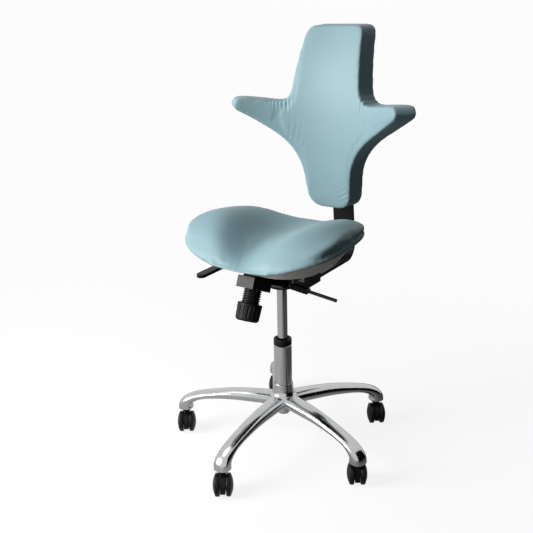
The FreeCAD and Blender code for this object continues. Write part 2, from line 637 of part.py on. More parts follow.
def make_housing():
    """Casting over the gas cylinder: boss, six-sided nose, lever lugs and the paddle's bearing block."""
    body = new_body("housing_casting")
    middle = (S.housing_front + S.pivot_back) / 2
    nip = S.housing_nip
    pad(body, outline(sketch_on(body, "YZ_Plane"), [
        (S.housing_front, S.housing_bottom + nip), (S.housing_front + nip, S.housing_bottom),
        (S.housing_rear, S.housing_bottom), (S.housing_rear, S.housing_tail),
        (S.pivot_back + nip, S.housing_crown), (middle, S.housing_crown), (S.housing_front, S.housing_crown - nip)]),
        S.housing_width, symmetric=True)
    button_top = S.cylinder_top + S.button_rise
    bevel = S.boss_bevel
    turn(body, outline(sketch_on(body, "XZ_Plane"), [
        (0, S.boss_bottom), (S.boss_radius - bevel, S.boss_bottom), (S.boss_radius, S.boss_bottom + bevel),
        (S.boss_radius, S.housing_bottom + bevel), (0, S.housing_bottom + bevel)]))
    doc.recompute()
    turn(body, outline(sketch_on(body, "XZ_Plane"), [
        (0, S.boss_bottom), (cylinder_radius, S.boss_bottom),
        (cylinder_radius - S.taper_draw, S.cylinder_top), (S.button_diameter / 2, S.cylinder_top),
        (S.button_diameter / 2, button_top), (0, button_top)]), kind="Groove")
    cut(body, circle(sketch_on(body, "YZ_Plane"), S.pivot_back, S.pivot_height, S.pin_diameter / 2),
        S.housing_width * 2, symmetric=True)

    lug_inside = S.lever_bar_width / 2 + S.flat_gap
    lug_outside = lug_inside + S.lug_thickness
    lug_radius = S.lever_bar_height / 2
    added = []
    for start in (-lug_outside, lug_inside):
        added.append(round_bar("lever_lug", "y", lug_radius, S.lug_thickness,
                               S.lever_pivot, S.lever_back + start, S.lever_height))
        added.append(box("lever_web", S.lever_pivot - lug_radius, S.lever_pivot + lug_radius,
                         S.lever_back + start, S.lever_back + start + S.lug_thickness,
                         S.lever_height, S.housing_bottom + bevel))
    block_half = S.paddle_shaft
    shaft_end = S.housing_width / 4
    added.append(box("paddle_block", -S.housing_width / 2, -shaft_end / 2,
                     S.paddle_back - block_half, S.paddle_back + block_half,
                     S.paddle_height - block_half, S.housing_bottom + bevel))
    nose = primitive("Prism", "nose", Circumradius=S.nose_radius, Height=S.nose_height)
    nose.Polygon = 6
    place(nose, turn=-S.nose_lean, about=Vector(1, 0, 0), **lean_point(S.nose_height))
    solid = join("Fuse", "housing_solid", body, added + [nose])

    pin_start = S.lever_back - lug_outside
    lever_hole = round_bar("lever_hole", "y", S.lever_pin_diameter / 2, lug_outside * 2,
                           S.lever_pivot, pin_start, S.lever_height)
    shaft_hole = round_bar("shaft_hole", "x", S.paddle_shaft / 2 + S.running_fit, S.housing_width / 2,
                           -S.housing_width / 2 - shaft_end + S.flat_gap, S.paddle_back, S.paddle_height)
    screw_bore = primitive("Cylinder", "screw_bore", Height=S.screw_reach,
                           Radius=S.screw_diameter / 2 - S.screw_depth + S.running_fit)
    place(screw_bore, turn=-S.nose_lean, about=Vector(1, 0, 0), **lean_point(S.nose_height))
    housing = join("Cut", "mechanism_housing", solid, [lever_hole, shaft_hole, screw_bore])
    keep(housing, "mechanism_housing")

    cheek_outside = S.housing_width / 2 + S.flat_gap + S.cheek_thickness
    keep(round_bar("pivot_pin", "x", S.pin_diameter / 2, cheek_outside * 2,
                   -cheek_outside, S.pivot_back, S.pivot_height), "pivot_pin")
    keep(round_bar("lever_pin", "y", S.lever_pin_diameter / 2, lug_outside * 2,
                   S.lever_pivot, pin_start, S.lever_height), "lever_pin")


def make_tension_screw():
    """Coarse screw below the nose, and its fluted hand knob; both turned about Z, then leaned."""
    crest = S.screw_diameter / 2
    root = crest - S.screw_depth
    shown = S.screw_pitch * S.screw_turns
    profile = [(0, -S.screw_reach), (root, -S.screw_reach), (root, 0)]
    for groove in range(int(S.screw_turns.value)):
        foot = S.screw_pitch * groove
        profile += [(crest, foot + S.screw_pitch * 0.3), (crest, foot + S.screw_pitch * 0.6),
                    (root, foot + S.screw_pitch * 0.9), (root, foot + S.screw_pitch)]
    profile += [(root, shown + S.screw_reach), (0, shown + S.screw_reach)]
    screw = turned("tension_screw", profile)
    start = S.nose_height + shown + S.running_fit
    place(screw, turn=-S.nose_lean, about=Vector(1, 0, 0), **lean_point(start))

    knob = new_body("tension_knob")
    radius = S.knob_diameter / 2
    foot_radius = radius - S.knob_taper
    height = S.knob_height
    turn(knob, outline(sketch_on(knob, "XZ_Plane"), [
        (root, 0), (radius - 2, 0), (radius, -2), (foot_radius + 1, 5 - height), (foot_radius - 4, -height),
        (0, -height), (0, -S.screw_reach), (root, -S.screw_reach)]))
    flute = pad(knob, circle(sketch_on(knob, "XY_Plane", -height), radius + S.flute_radius * 0.35, 0,
                             S.flute_radius), height - 8, kind="Pocket")
    flute.Reversed = True
    repeat(knob, [flute], S.flute_count.value)
    keep(place(knob, turn=-S.nose_lean, about=Vector(1, 0, 0), **lean_point(start)), "tension_knob")


def make_levers():
    bar = new_body("lever_bar")
    half = S.lever_bar_height / 2
    end = S.lever_bar_length
    pad(bar, outline(sketch_on(bar, "XZ_Plane"), [
        (0, -half), (end - 4, -half), (end, 4 - half), (end, half - 4),
        (end - 4, half), (0, half), (-half, 0, -half * 0.7, -half * 0.7)]), S.lever_bar_width, symmetric=True)
    cut(bar, circle(sketch_on(bar, "XZ_Plane"), 0, 0, S.lever_pin_diameter / 2 + S.running_fit),
        S.lever_bar_width * 2, symmetric=True)
    rod = round_bar("lever_rod", "x", S.lever_rod_diameter / 2, S.lever_rod_length, end)
    lever = join("Fuse", "height_lever", bar, [rod])
    place(lever, S.lever_pivot, S.lever_back, S.lever_height, turn=S.lever_droop, about=Vector(0, 1, 0))
    keep(lever, "height_lever")

    shaft = round_bar("paddle_shaft", "x", S.paddle_shaft / 2, S.paddle_out - S.housing_width / 4, -S.paddle_out)
    blade = new_body("paddle_blade")
    wide = S.paddle_width / 2
    reach = S.paddle_reach
    pad(blade, outline(sketch_on(blade, "XY_Plane", -S.paddle_thickness / 2), [
        (wide - S.paddle_out, 10), (-wide - S.paddle_out, 10), (-wide - S.paddle_out, wide - reach),
        (-S.paddle_out, -reach, wide - S.paddle_out, wide - reach)]), S.paddle_thickness)
    paddle = join("Fuse", "tilt_paddle", shaft, [blade])
    keep(place(paddle, 0, S.paddle_back, S.paddle_height), "tilt_paddle")


# Seat

def make_seat_plate():
    plate = new_body("seat_plate")
    half = S.plate_half_width
    nip = 18
    pad(plate, outline(sketch_on(plate, "XY_Plane", plate_bottom), [
        (-half, S.plate_front + nip), (nip - half, S.plate_front), (half - nip, S.plate_front),
        (half, S.plate_front + nip), (half, S.plate_rear - nip), (half - nip, S.plate_rear),
        (nip - half, S.plate_rear), (-half, S.plate_rear - nip)]), S.plate_thickness)
    inside = S.housing_width / 2 + S.flat_gap
    foot = S.cheek_radius
    side = S.cheek_half_length
    for start, sign in ((inside, 1), (-inside - S.cheek_thickness, -1)):
        pad(plate, outline(sketch_on(plate, "YZ_Plane", start), [
            (S.pivot_back + side, plate_bottom), (S.pivot_back - side, plate_bottom),
            (S.pivot_back - foot, S.pivot_height),
            (S.pivot_back, S.pivot_height - foot, S.pivot_back + foot, S.pivot_height)]), S.cheek_thickness)
    cut(plate, circle(sketch_on(plate, "YZ_Plane"), S.pivot_back, S.pivot_height,
                      S.pin_diameter / 2 + S.running_fit), half * 2, symmetric=True)
    keep(plate, "seat_plate")

    wall = S.carrier_wall
    wide = S.carrier_half_width
    slot_bottom = S.bar_bottom - S.running_fit
    slot_top = bar_top + S.running_fit
    slot_half = S.bar_width / 2 + S.running_fit
    block = box("carrier_block", -wide, wide, S.carrier_front, S.carrier_rear, slot_bottom - wall, plate_bottom)
    slot = box("carrier_slot", -slot_half, slot_half, S.carrier_front - 1, S.carrier_rear + 1,
               slot_bottom, slot_top)
    trough = box("carrier_trough", wall - wide, wide - wall, S.carrier_front - 1, S.carrier_rear + 1,
                 slot_top + wall, plate_bottom - wall)
    shank = round_bar("clamp_hole", "z", S.clamp_shank_radius, wall * 2, 0, S.clamp_back, slot_bottom - wall * 1.5)
    keep(join("Cut", "bar_carrier", block, [slot, trough, shank]), "bar_carrier")

    head_top = slot_bottom - wall
    bolt = turned("clamp_bolt", [
        (0, head_top - S.clamp_head_height), (S.clamp_head_radius - 2, head_top - S.clamp_head_height),
        (S.clamp_head_radius, head_top - S.clamp_head_height + 2), (S.clamp_head_radius, head_top),
        (S.clamp_shank_radius, head_top), (S.clamp_shank_radius, slot_bottom), (0, slot_bottom)])
    place(bolt, 0, S.clamp_back)

    heads = []
    for across in (-1, 1):
        for along in (-1, 1):
            heads.append(round_bar("pan_screw", "z", S.screw_head_radius, S.screw_head_height,
                                   across * S.screw_spread_x, S.screw_middle + along * S.screw_spread_y,
                                   plate_bottom - S.screw_head_height))
    group = doc.addObject("Part::Compound", "pan_screws")
    group.Links = heads
    keep(group, "pan_screws")


def rounded_loop(corners, radii, to_space):
    """Closed wire of straight runs and tangent corner arcs; a radius of 0 leaves a plain corner."""
    cuts = []
    for index, (corner, radius) in enumerate(zip(corners, radii)):
        here = Vector(*corner)
        back = (Vector(*corners[index - 1]) - here).normalize()
        ahead = (Vector(*corners[(index + 1) % len(corners)]) - here).normalize()
        half = back.getAngle(ahead) / 2
        reach = radius / math.tan(half)
        toward = (back + ahead).normalize() if radius else Vector()
        middle = here + toward * (radius / math.sin(half) - radius) if radius else here
        cuts.append((here + back * reach, middle, here + ahead * reach, radius))
    edges = []
    for index, (start, middle, end, radius) in enumerate(cuts):
        if radius:
            edges.append(Part.Arc(*[to_space(point) for point in (start, middle, end)]).toShape())
        following = cuts[(index + 1) % len(cuts)][0]
        if end.distanceToPoint(following) > 1e-6:
            edges.append(Part.makeLine(to_space(end), to_space(following)))
    return Part.Wire(edges)


def pan_solid(grow, foot, top):
    """The pan's outer form between two heights, grown sideways by a given amount."""
    flare = S.pan_flare.value
    steps = ((0.0, 0.0), (0.13, 0.2), (0.5, 0.66), (1.0, 1.0))
    loops = []
    for rise, share in steps:
        out = grow + flare * share
        half = S.pan_half_width.value + out
        front = S.pan_front.value - out
        rear = S.pan_rear.value + out
        height = foot + (top - foot) * rise
        radius = S.pan_corner.value + out
        loops.append(rounded_loop([(-half, front), (half, front), (half, rear), (-half, rear)], [radius] * 4,
                                  lambda point, height=height: Vector(point.x, point.y, height)))
    return Part.makeLoft(loops, True, True)


def seat_section(share):
    """Cross-section of the cushion at a share of its depth, from -1 at the front to 1 at the rear."""
    depth = (S.seat_rear.value - S.seat_front.value) / 2
    y = (S.seat_rear.value + S.seat_front.value) / 2 + share * depth
    away = abs(share)
    width = (S.seat_half_width.value - S.seat_taper.value * share) * (1 - away ** 3) ** (1 / 3)
    fall = S.front_fall.value if share < 0 else -S.rear_rise.value
    plate = S.plate_top.value
    middle = plate + S.cushion_rise.value - fall * share ** 2
    swell = 1 - (abs(share + 0.3) / 1.3) ** 1.9
    crest = middle + S.flank_rise.value * swell
    belly = plate + S.lip_front_rise.value
    edge = (middle + belly) / 2
    side = plate + S.lip_side_rise.value
    lip = side - (side - edge) * away ** 4
    fade = 1 - away ** 9
    levels = [edge + (level - edge) * fade for level in (lip, belly, middle, crest)]
    return y, width, levels


def cushion_loop(share):
    y, width, (lip, belly, middle, crest) = seat_section(share)
    under = (crest - lip) * 0.26
    draw = S.side_draw.value * (crest - lip) / (S.cushion_rise + S.flank_rise - S.lip_side_rise).value
    shoulder = lip + (crest - lip) * 0.55
    ridge = (S.ridge_half_spread.value + S.ridge_fan.value * share) / S.seat_half_width.value
    corner = under * (1 - math.sqrt(0.5))

    def at(x, z):
        return Vector(x, y, z)

    def top_height(across):
        if across < ridge:
            return middle + (crest - middle) * math.sin(math.pi / 2 * across / ridge) ** 2
        beyond = (across - ridge) / (1 - ridge)
        return shoulder + (crest - shoulder) * math.sqrt(max(0.0, 1 - beyond ** 2))

    steps = [ridge * step / 4 for step in range(4)]
    steps += [ridge + (1 - ridge) * step for step in (0.0, 0.4, 0.72, 0.92, 1.0)]
    right = [at(width * across, top_height(across)) for across in steps]
    left = [at(-point.x, point.z) for point in right]
    top = Part.BSplineCurve()
    top.interpolate(Points=left[:0:-1] + right,
                    Parameters=[-across for across in reversed(steps[1:])] + steps)
    low_x = width - draw * 0.2
    waist = at(width - draw, (lip + under + shoulder) / 2)
    side = [
        Part.Arc(at(low_x - under, lip), at(low_x - corner, lip + corner), at(low_x, lip + under)).toShape(),
        Part.Arc(at(low_x, lip + under), waist, right[-1]).toShape()]
    flip = FreeCAD.Matrix()
    flip.A11 = -1
    edges = side + [top.toShape()] + [edge.transformGeometry(flip) for edge in reversed(side)]
    edges.append(Part.Arc(at(under - low_x, lip), at(0, belly), at(low_x - under, lip)).toShape())
    return Part.Wire(Part.__sortEdges__(edges))


def make_seat():
    foot = S.plate_top.value
    top = foot + S.pan_height.value
    wall = S.pan_wall.value
    gap = S.seat_gap.value
    radius = S.pan_dish_radius.value
    middle = Vector(0, -radius, foot + S.pan_saddle.value + radius)
    saddle = Part.makeCylinder(radius, radius * 2, middle, Vector(0, 1, 0))
    room_saddle = Part.makeCylinder(radius - gap, radius * 2, middle, Vector(0, 1, 0))
    outer = pan_solid(0, foot, top)
    inner = pan_solid(-wall, foot + wall, top + wall)
    keep(formed("seat_pan", outer.cut(inner).cut(saddle)), "seat_pan")
    shares = (-0.988, -0.94, -0.84, -0.66, -0.4, -0.1, 0.2, 0.48, 0.7, 0.86, 0.95, 0.988)
    cushion = Part.makeLoft([cushion_loop(share) for share in shares], True)
    room = pan_solid(gap, foot - wall, top + gap).cut(room_saddle)
    keep(formed("seat_cushion", cushion.cut(room)), "seat_cushion")


# Backrest

def front_face(height):
    """Y of the backrest's front face on the middle line at a height."""
    lumbar = S.lumbar_height.value
    if height > lumbar:
        return S.lumbar_back.value + S.top_setback.value * ((height - lumbar) / (S.back_top.value - lumbar)) ** 2
    low = (lumbar - height) / (lumbar - S.back_bottom.value)
    return S.lumbar_back.value + S.bottom_setback.value * low ** 2


def wrapped_slab(front, rear, margin):
    """Slab that follows the backrest's curves between two depths behind its front face."""
    wires = []
    low = S.back_bottom.value - margin
    high = S.back_top.value + margin
    levels = 7
    turn_to_side = math.radians(S.wrap_angle.value)
    for level in range(levels):
        height = low + (high - low) * level / (levels - 1)
        centre = front_face(height) - S.wrap_radius.value

        def at(angle, depth, height=height, centre=centre):
            radius = S.wrap_radius.value + depth
            return Vector(radius * math.sin(angle), centre + radius * math.cos(angle), height)

        sides = (at(-turn_to_side, front), at(turn_to_side, front), at(turn_to_side, rear), at(-turn_to_side, rear))
        wires.append(Part.Wire([
            Part.Arc(sides[0], at(0, front), sides[1]).toShape(), Part.makeLine(sides[1], sides[2]),
            Part.Arc(sides[2], at(0, rear), sides[3]).toShape(), Part.makeLine(sides[3], sides[0])]))
    return Part.makeLoft(wires, True)


def back_outline(inset):
    """The backrest's outline carried radially through the wrapped slab: panel, two wings and a stalk."""
    tip_inset = inset * 0.4
    tip_round = S.wing_tip_round.value - tip_inset
    wing_end = S.shell_half_span.value
    right = [
        (S.top_half_width.value - inset, S.back_top.value - inset, S.top_corner.value),
        (S.waist_half_width.value - inset, S.wing_top.value - inset, S.waist_corner.value),
        (wing_end, S.wing_top.value - tip_inset, tip_round),
        (wing_end, S.wing_tip_bottom.value - tip_inset, tip_round),
        (S.lower_half_width.value - inset, S.lower_height.value, S.lower_sweep.value),
        (S.bottom_half_width.value - inset, S.back_bottom.value + inset, S.bottom_corner.value)]
    points = right + [(-x, z, radius) for x, z, radius in reversed(right)]
    reach = S.wrap_radius.value
    axis = S.lumbar_back.value - reach
    loops = []
    for share in (0.66, 1.4):
        corners = [(share * x / math.sqrt(1 - (x / reach) ** 2), z) for x, z, radius in points]
        loops.append(rounded_loop(corners, [radius for x, z, radius in points],
                                  lambda point, share=share: Vector(point.x, axis + reach * share, point.y)))
    return Part.makeLoft(loops, True, True)


def roll_off(distance, radius):
    """Share of the full size left at a distance inside a rounded end."""
    u = max(0.0, 1 - distance / radius)
    return math.sqrt(1 - u * u)


def bulged_loop(corners, middles):
    """Closed wire of four arcs through the corners and the point in the middle of each side."""
    edges = []
    for index, middle in enumerate(middles):
        edges.append(Part.Arc(corners[index], middle, corners[(index + 1) % 4]).toShape())
    return Part.Wire(edges)


def panel_loop(height):
    """Level cross-section of the upright panel: front arc, rolled side, rear arc, rolled side."""
    top, bottom, waist = S.back_top.value, S.back_bottom.value, S.wing_top.value
    if height > waist:
        rise = (height - waist) / (top - waist)
        width = S.waist_half_width.value + (S.top_half_width.value - S.waist_half_width.value) * rise
    else:
        rise = (height - bottom) / (waist - bottom)
        width = S.bottom_half_width.value + (S.waist_half_width.value - S.bottom_half_width.value) * rise ** 2.0
    for corner, room in ((S.top_corner.value, top - height), (S.bottom_corner.value, height - bottom)):
        width -= corner * (1 - roll_off(room, corner))
    full = S.pad_thickness.value
    thickness = full * min(roll_off(top - height, S.pad_round.value), roll_off(height - bottom, S.pad_round.value))
    near, far = (full - thickness) / 2, (full + thickness) / 2
    reach = S.wrap_radius.value
    centre = front_face(height) - reach
    side = math.asin(width / (reach + full / 2))
    seam = math.asin((width - min(S.pad_round.value, thickness * 0.4)) / (reach + full / 2))

    def at(angle, depth):
        radius = reach + depth
        return Vector(radius * math.sin(angle), centre + radius * math.cos(angle), height)

    return bulged_loop([at(-seam, near), at(seam, near), at(seam, far), at(-seam, far)],
                       [at(0, near), at(side, full / 2), at(0, far), at(-side, full / 2)])


def wing_loop(angle):
    """Upright cross-section through a wing at an angle round the wrap's axis."""
    reach = S.wrap_radius.value
    full = S.pad_thickness.value
    tip_angle = math.asin(S.wing_half_span.value / (reach + full / 2))
    root_angle = math.asin(S.waist_half_width.value / reach)
    out = max(-0.3, (abs(angle) - root_angle) / (tip_angle - root_angle))
    top = S.wing_top.value + (S.wing_tip_top.value - S.wing_top.value) * min(1.0, max(0.0, out * 1.25))
    low = S.wing_tip_bottom.value - (S.wing_tip_bottom.value - S.lower_height.value) * max(0.0, 1 - out) ** 1.1
    left = roll_off((tip_angle - abs(angle)) * reach, S.wing_tip_round.value)
    middle = (top + low) / 2
    half = (top - low) / 2 * left
    skin = S.wing_inset.value
    thickness = (full - 2 * skin) * (0.45 + 0.55 * left)
    near, far = (full - thickness) / 2, (full + thickness) / 2
    roll = min(S.pad_round.value, half * 0.8, thickness * 0.4)
    low_edge, high_edge = middle - half + roll, middle + half - roll
    axis = S.lumbar_back.value - reach

    def at(depth, height):
        radius = reach + depth + front_face(height) - S.lumbar_back.value
        return Vector(radius * math.sin(angle), axis + radius * math.cos(angle), height)

    return Part.Wire([
        Part.Arc(at(near, low_edge), at(near, (low_edge + high_edge) / 2), at(near, high_edge)).toShape(),
        Part.Arc(at(near, high_edge), at(full / 2, middle + half), at(far, high_edge)).toShape(),
        Part.Arc(at(far, high_edge), at(far, (low_edge + high_edge) / 2), at(far, low_edge)).toShape(),
        Part.Arc(at(far, low_edge), at(full / 2, middle - half), at(near, low_edge)).toShape()])


def make_backrest():
    top, bottom = S.back_top.value, S.back_bottom.value
    rounded = S.bottom_corner.value
    levels = [bottom + 0.8, bottom + rounded * 0.12, bottom + rounded * 0.4, bottom + rounded]
    waist = S.wing_top.value
    for low, high, steps in ((levels[-1], waist, 5), (waist, top - S.top_corner.value, 4)):
        levels += [low + (high - low) * step / steps for step in range(1, steps + 1)]
    rounded = S.top_corner.value
    levels += [top - rounded * 0.4, top - rounded * 0.12, top - 0.8]
    panel = Part.makeLoft([panel_loop(height) for height in levels], True)
    thickness = S.pad_thickness.value
    tip = math.asin(S.wing_half_span.value / (S.wrap_radius.value + thickness / 2))
    last = tip - 0.8 / S.wrap_radius.value
    curl = S.wing_tip_round.value / S.wrap_radius.value
    half = [last, tip - curl * 0.25, tip - curl, tip * 0.76, tip * 0.56, tip * 0.36]
    angles = [-angle for angle in half] + [0] + list(reversed(half))
    wings = Part.makeLoft([wing_loop(angle) for angle in angles], True)
    keep(formed("back_cushion", panel.fuse(wings).removeSplitter().Solids[0]), "back_cushion")
    gap = S.shell_gap.value
    shell_rear = thickness + gap + S.shell_thickness.value
    shell = wrapped_slab(thickness + gap, shell_rear, S.slab_margin.value).common(back_outline(S.shell_inset.value))
    keep(formed("back_shell", shell.Solids[0]), "back_shell")
    return wrapped_slab(0, shell_rear, S.slab_margin.value)


def make_back_bar(filled):
    bar = new_body("bar_strip")
    lean = S.bar_lean
    outer = S.bar_bend_radius + S.bar_thickness
    inner = S.bar_bend_radius
    bend_y = S.bar_bend_back
    bend_z = bar_top + S.bar_bend_radius
    half_way = (lean - 90) / 2

    def on_bend(radius, angle):
        return bend_y + radius * cosine(angle), bend_z + radius * sine(angle)

    outer_end = on_bend(outer, lean)
    inner_end = on_bend(inner, lean)
    rise_y = -sine(lean) * S.bar_upright
    rise_z = cosine(lean) * S.bar_upright
    pad(bar, outline(sketch_on(bar, "YZ_Plane"), [
        (S.bar_front, bar_top), (S.bar_front, S.bar_bottom), (bend_y, S.bar_bottom),
        on_bend(outer, half_way) + outer_end,
        (outer_end[0] + rise_y, outer_end[1] + rise_z), (inner_end[0] + rise_y, inner_end[1] + rise_z),
        inner_end, on_bend(inner, half_way) + (bend_y, bar_top)]), S.bar_width, symmetric=True)
    doc.recompute()

    wide = S.bracket_half_width.value
    middle = (S.bracket_bottom.value + S.bracket_top.value) / 2
    slope = math.radians(lean.value)
    rise = (middle - inner_end[1].value) / math.cos(slope)
    seat_y = inner_end[0].value - math.sin(slope) * rise
    tall = S.bracket_top.value - S.bracket_bottom.value
    deep = S.pad_thickness.value
    block = Part.makeBox(wide * 2, deep, tall, Vector(-wide, -deep, -tall / 2))
    facing = Placement(Vector(0, seat_y, middle), Rotation(Vector(1, 0, 0), lean.value))
    block.Placement = facing
    bracket = max(block.cut(filled).Solids, key=lambda solid: solid.CenterOfMass.y)
    shank = S.bolt_shank_radius.value
    head = S.bolt_head_radius.value
    behind = S.bar_thickness.value
    reach = 6.0
    bolts = []
    holes = []
    for along in (-1, 1):
        start = Vector(0, 0, along * S.bolt_spread.value)
        bolt = Part.makeCylinder(shank, behind + reach, start + Vector(0, -reach, 0), Vector(0, 1, 0))
        holes.append(bolt.copy())
        bolts.append(bolt.fuse(Part.makeCylinder(head, S.bolt_head_height.value, start + Vector(0, behind, 0),
                                                 Vector(0, 1, 0))).removeSplitter())
    for shape in bolts + holes:
        shape.Placement = facing.multiply(shape.Placement)
    keep(formed("back_bracket", bracket.cut(Part.makeCompound(holes))), "back_bracket")
    keep(formed("back_bolts", Part.makeCompound(bolts)), "back_bolts")
    drilled = doc.addObject("Part::Feature", "bolt_holes")
    drilled.Shape = Part.makeCompound(holes)
    keep(join("Cut", "back_bar_drilled", bar, [drilled]), "back_bar")


make_star_base()
make_lift(make_column())
for number, (name, heading) in enumerate(CASTER_HEADINGS):
    make_caster(number, name, heading)
make_housing()
make_tension_screw()
make_levers()
make_seat_plate()
make_seat()
make_back_bar(make_backrest())
doc.recompute()

for item in doc.Objects:
    if "Invalid" in item.State or "Error" in item.State:
        raise RuntimeError("%s failed: %s" % (item.Label, item.State))
os.makedirs("parts", exist_ok=True)
for node in nodes:
    if node.Shape.isNull() or not node.Shape.isValid():
        raise RuntimeError("%s has no valid shape" % node.Label)
    node.Shape.exportStep("parts/%s.step" % node.Label)
    print("%-28s %d solid(s) %10.1f mm3" % (node.Label, len(node.Shape.Solids), node.Shape.Volume))
print(len(nodes), "pieces")
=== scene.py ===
# %% [markdown]
# # A rolling stool with a saddle seat and a cross-shaped back
# This lesson dresses a finished CAD model. The frame below already holds every solid in its
# real place, in metres: X to the sitter's left, Y towards the backrest, Z up from the floor.
# We give the rigid solids real finishes. Three solids are replaced: the two upholstered ones by
# stuffed forms, because foam under a coated cloth never looks like a milled block, and the cast
# base by a smoother sweep.

# %% Load the frame
import bmesh
import bpy
import math
from mathutils import Matrix, Vector, noise


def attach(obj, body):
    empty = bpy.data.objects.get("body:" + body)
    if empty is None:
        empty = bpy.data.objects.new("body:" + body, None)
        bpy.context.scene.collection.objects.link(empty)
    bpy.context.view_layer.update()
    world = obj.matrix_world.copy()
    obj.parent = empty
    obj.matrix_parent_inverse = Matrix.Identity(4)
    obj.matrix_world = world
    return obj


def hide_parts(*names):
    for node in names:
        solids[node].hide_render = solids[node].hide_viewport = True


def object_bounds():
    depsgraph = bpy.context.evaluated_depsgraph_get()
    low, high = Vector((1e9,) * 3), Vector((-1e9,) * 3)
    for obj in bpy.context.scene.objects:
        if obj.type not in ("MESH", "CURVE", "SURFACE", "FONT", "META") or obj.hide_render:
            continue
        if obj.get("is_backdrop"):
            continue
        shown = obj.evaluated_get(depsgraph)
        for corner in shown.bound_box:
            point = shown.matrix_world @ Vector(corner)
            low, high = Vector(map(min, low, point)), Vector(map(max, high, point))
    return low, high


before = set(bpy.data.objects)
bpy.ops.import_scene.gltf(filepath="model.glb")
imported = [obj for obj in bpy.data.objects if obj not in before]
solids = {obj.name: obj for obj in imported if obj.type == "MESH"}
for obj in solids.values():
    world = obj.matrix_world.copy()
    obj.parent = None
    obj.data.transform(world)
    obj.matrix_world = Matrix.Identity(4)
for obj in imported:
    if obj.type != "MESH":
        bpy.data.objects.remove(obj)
cad_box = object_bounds()

# %% [markdown]
# ## The camera
# The photographer stood in front of the stool, a little to the sitter's left and above the
# seat. We could place a camera by eye, but five casters and a round column are enough to work
# out where it stood, so the numbers are written down as a position and three angles.

# %% Camera
CAMERA_PLACE = Vector((1.0551, -1.6667, 1.2026))
CAMERA_AZIMUTH = math.radians(33.5)
CAMERA_RISE = math.radians(18.84)
CAMERA_ROLL = math.radians(-1.2417)
SENSOR_MM = 36.0
FOCAL_SHARE = 780 / 533    # focal length as a share of the picture's width

camera_right = Vector((math.cos(CAMERA_AZIMUTH), math.sin(CAMERA_AZIMUTH), 0))
camera_back = Vector((math.sin(CAMERA_AZIMUTH) * math.cos(CAMERA_RISE),
                      -math.cos(CAMERA_AZIMUTH) * math.cos(CAMERA_RISE), math.sin(CAMERA_RISE)))
camera_up = camera_back.cross(camera_right)
rolled_right = camera_right * math.cos(CAMERA_ROLL) + camera_up * math.sin(CAMERA_ROLL)
rolled_up = camera_up * math.cos(CAMERA_ROLL) - camera_right * math.sin(CAMERA_ROLL)
lens = bpy.data.cameras.new("studio_camera")
lens.sensor_width = SENSOR_MM
lens.lens = SENSOR_MM * FOCAL_SHARE
camera = bpy.data.objects.new("studio_camera", lens)
camera.matrix_world = Matrix((rolled_right, rolled_up, camera_back)).transposed().to_4x4()
camera.location = CAMERA_PLACE
scene = bpy.context.scene
scene.collection.objects.link(camera)
scene.camera = camera
scene.view_settings.view_transform = "Standard"
print("camera stands %.2f m from the column" % CAMERA_PLACE.xy.length)

# %% [markdown]
# ## Small helpers for materials
# Paint charts give colours as sRGB hex, but Blender's sockets want linear light, so one
# function converts. Another adds a shader node: its settings, its numbers and its links in
# one call. A socket value that is itself a socket becomes a link.

# %% Material helpers
def linear(hex_colour):
    parts = [int(hex_colour[i:i + 2], 16) / 255 for i in (1, 3, 5)]
    return [c / 12.92 if c <= 0.04045 else ((c + 0.055) / 1.055) ** 2.4 for c in parts] + [1.0]


def add(tree, kind, sockets=None, **settings):
    made = tree.nodes.new(kind)
    for name, value in settings.items():
        setattr(made, name, value)
    for name, value in (sockets or {}).items():
        if isinstance(value, bpy.types.NodeSocket):
            tree.links.new(value, made.inputs[name])
        else:
            made.inputs[name].default_value = value
    return made


def start_material(name):
    """An empty material, its output and the coordinates of the piece in metres."""
    material = bpy.data.materials.new(name)
    material.use_nodes = True
    tree = material.node_tree
    tree.nodes.clear()
    output = add(tree, "ShaderNodeOutputMaterial")
    place = add(tree, "ShaderNodeTexCoord").outputs["Object"]
    return material, tree, output, place


def per_mm(size):
    """Texture scale at which one cell of a pattern is this many millimetres."""
    return 1000.0 / size


print("a mid grey #808080 is %.3f in linear light" % linear("#808080")[0])

# %% [markdown]
# ## Upholstery: polyurethane leatherette
# The cover is a knitted cloth with a coloured polyurethane skin, calendered against an
# embossed roll. To the eye that is one soft colour with a fine pebble, a satin shine that
# breaks up over the pebble, and slight cloudiness where the foam stretches it. The pebbles
# are about a millimetre wide; they are drawn at 2 mm so that they still show in the picture.

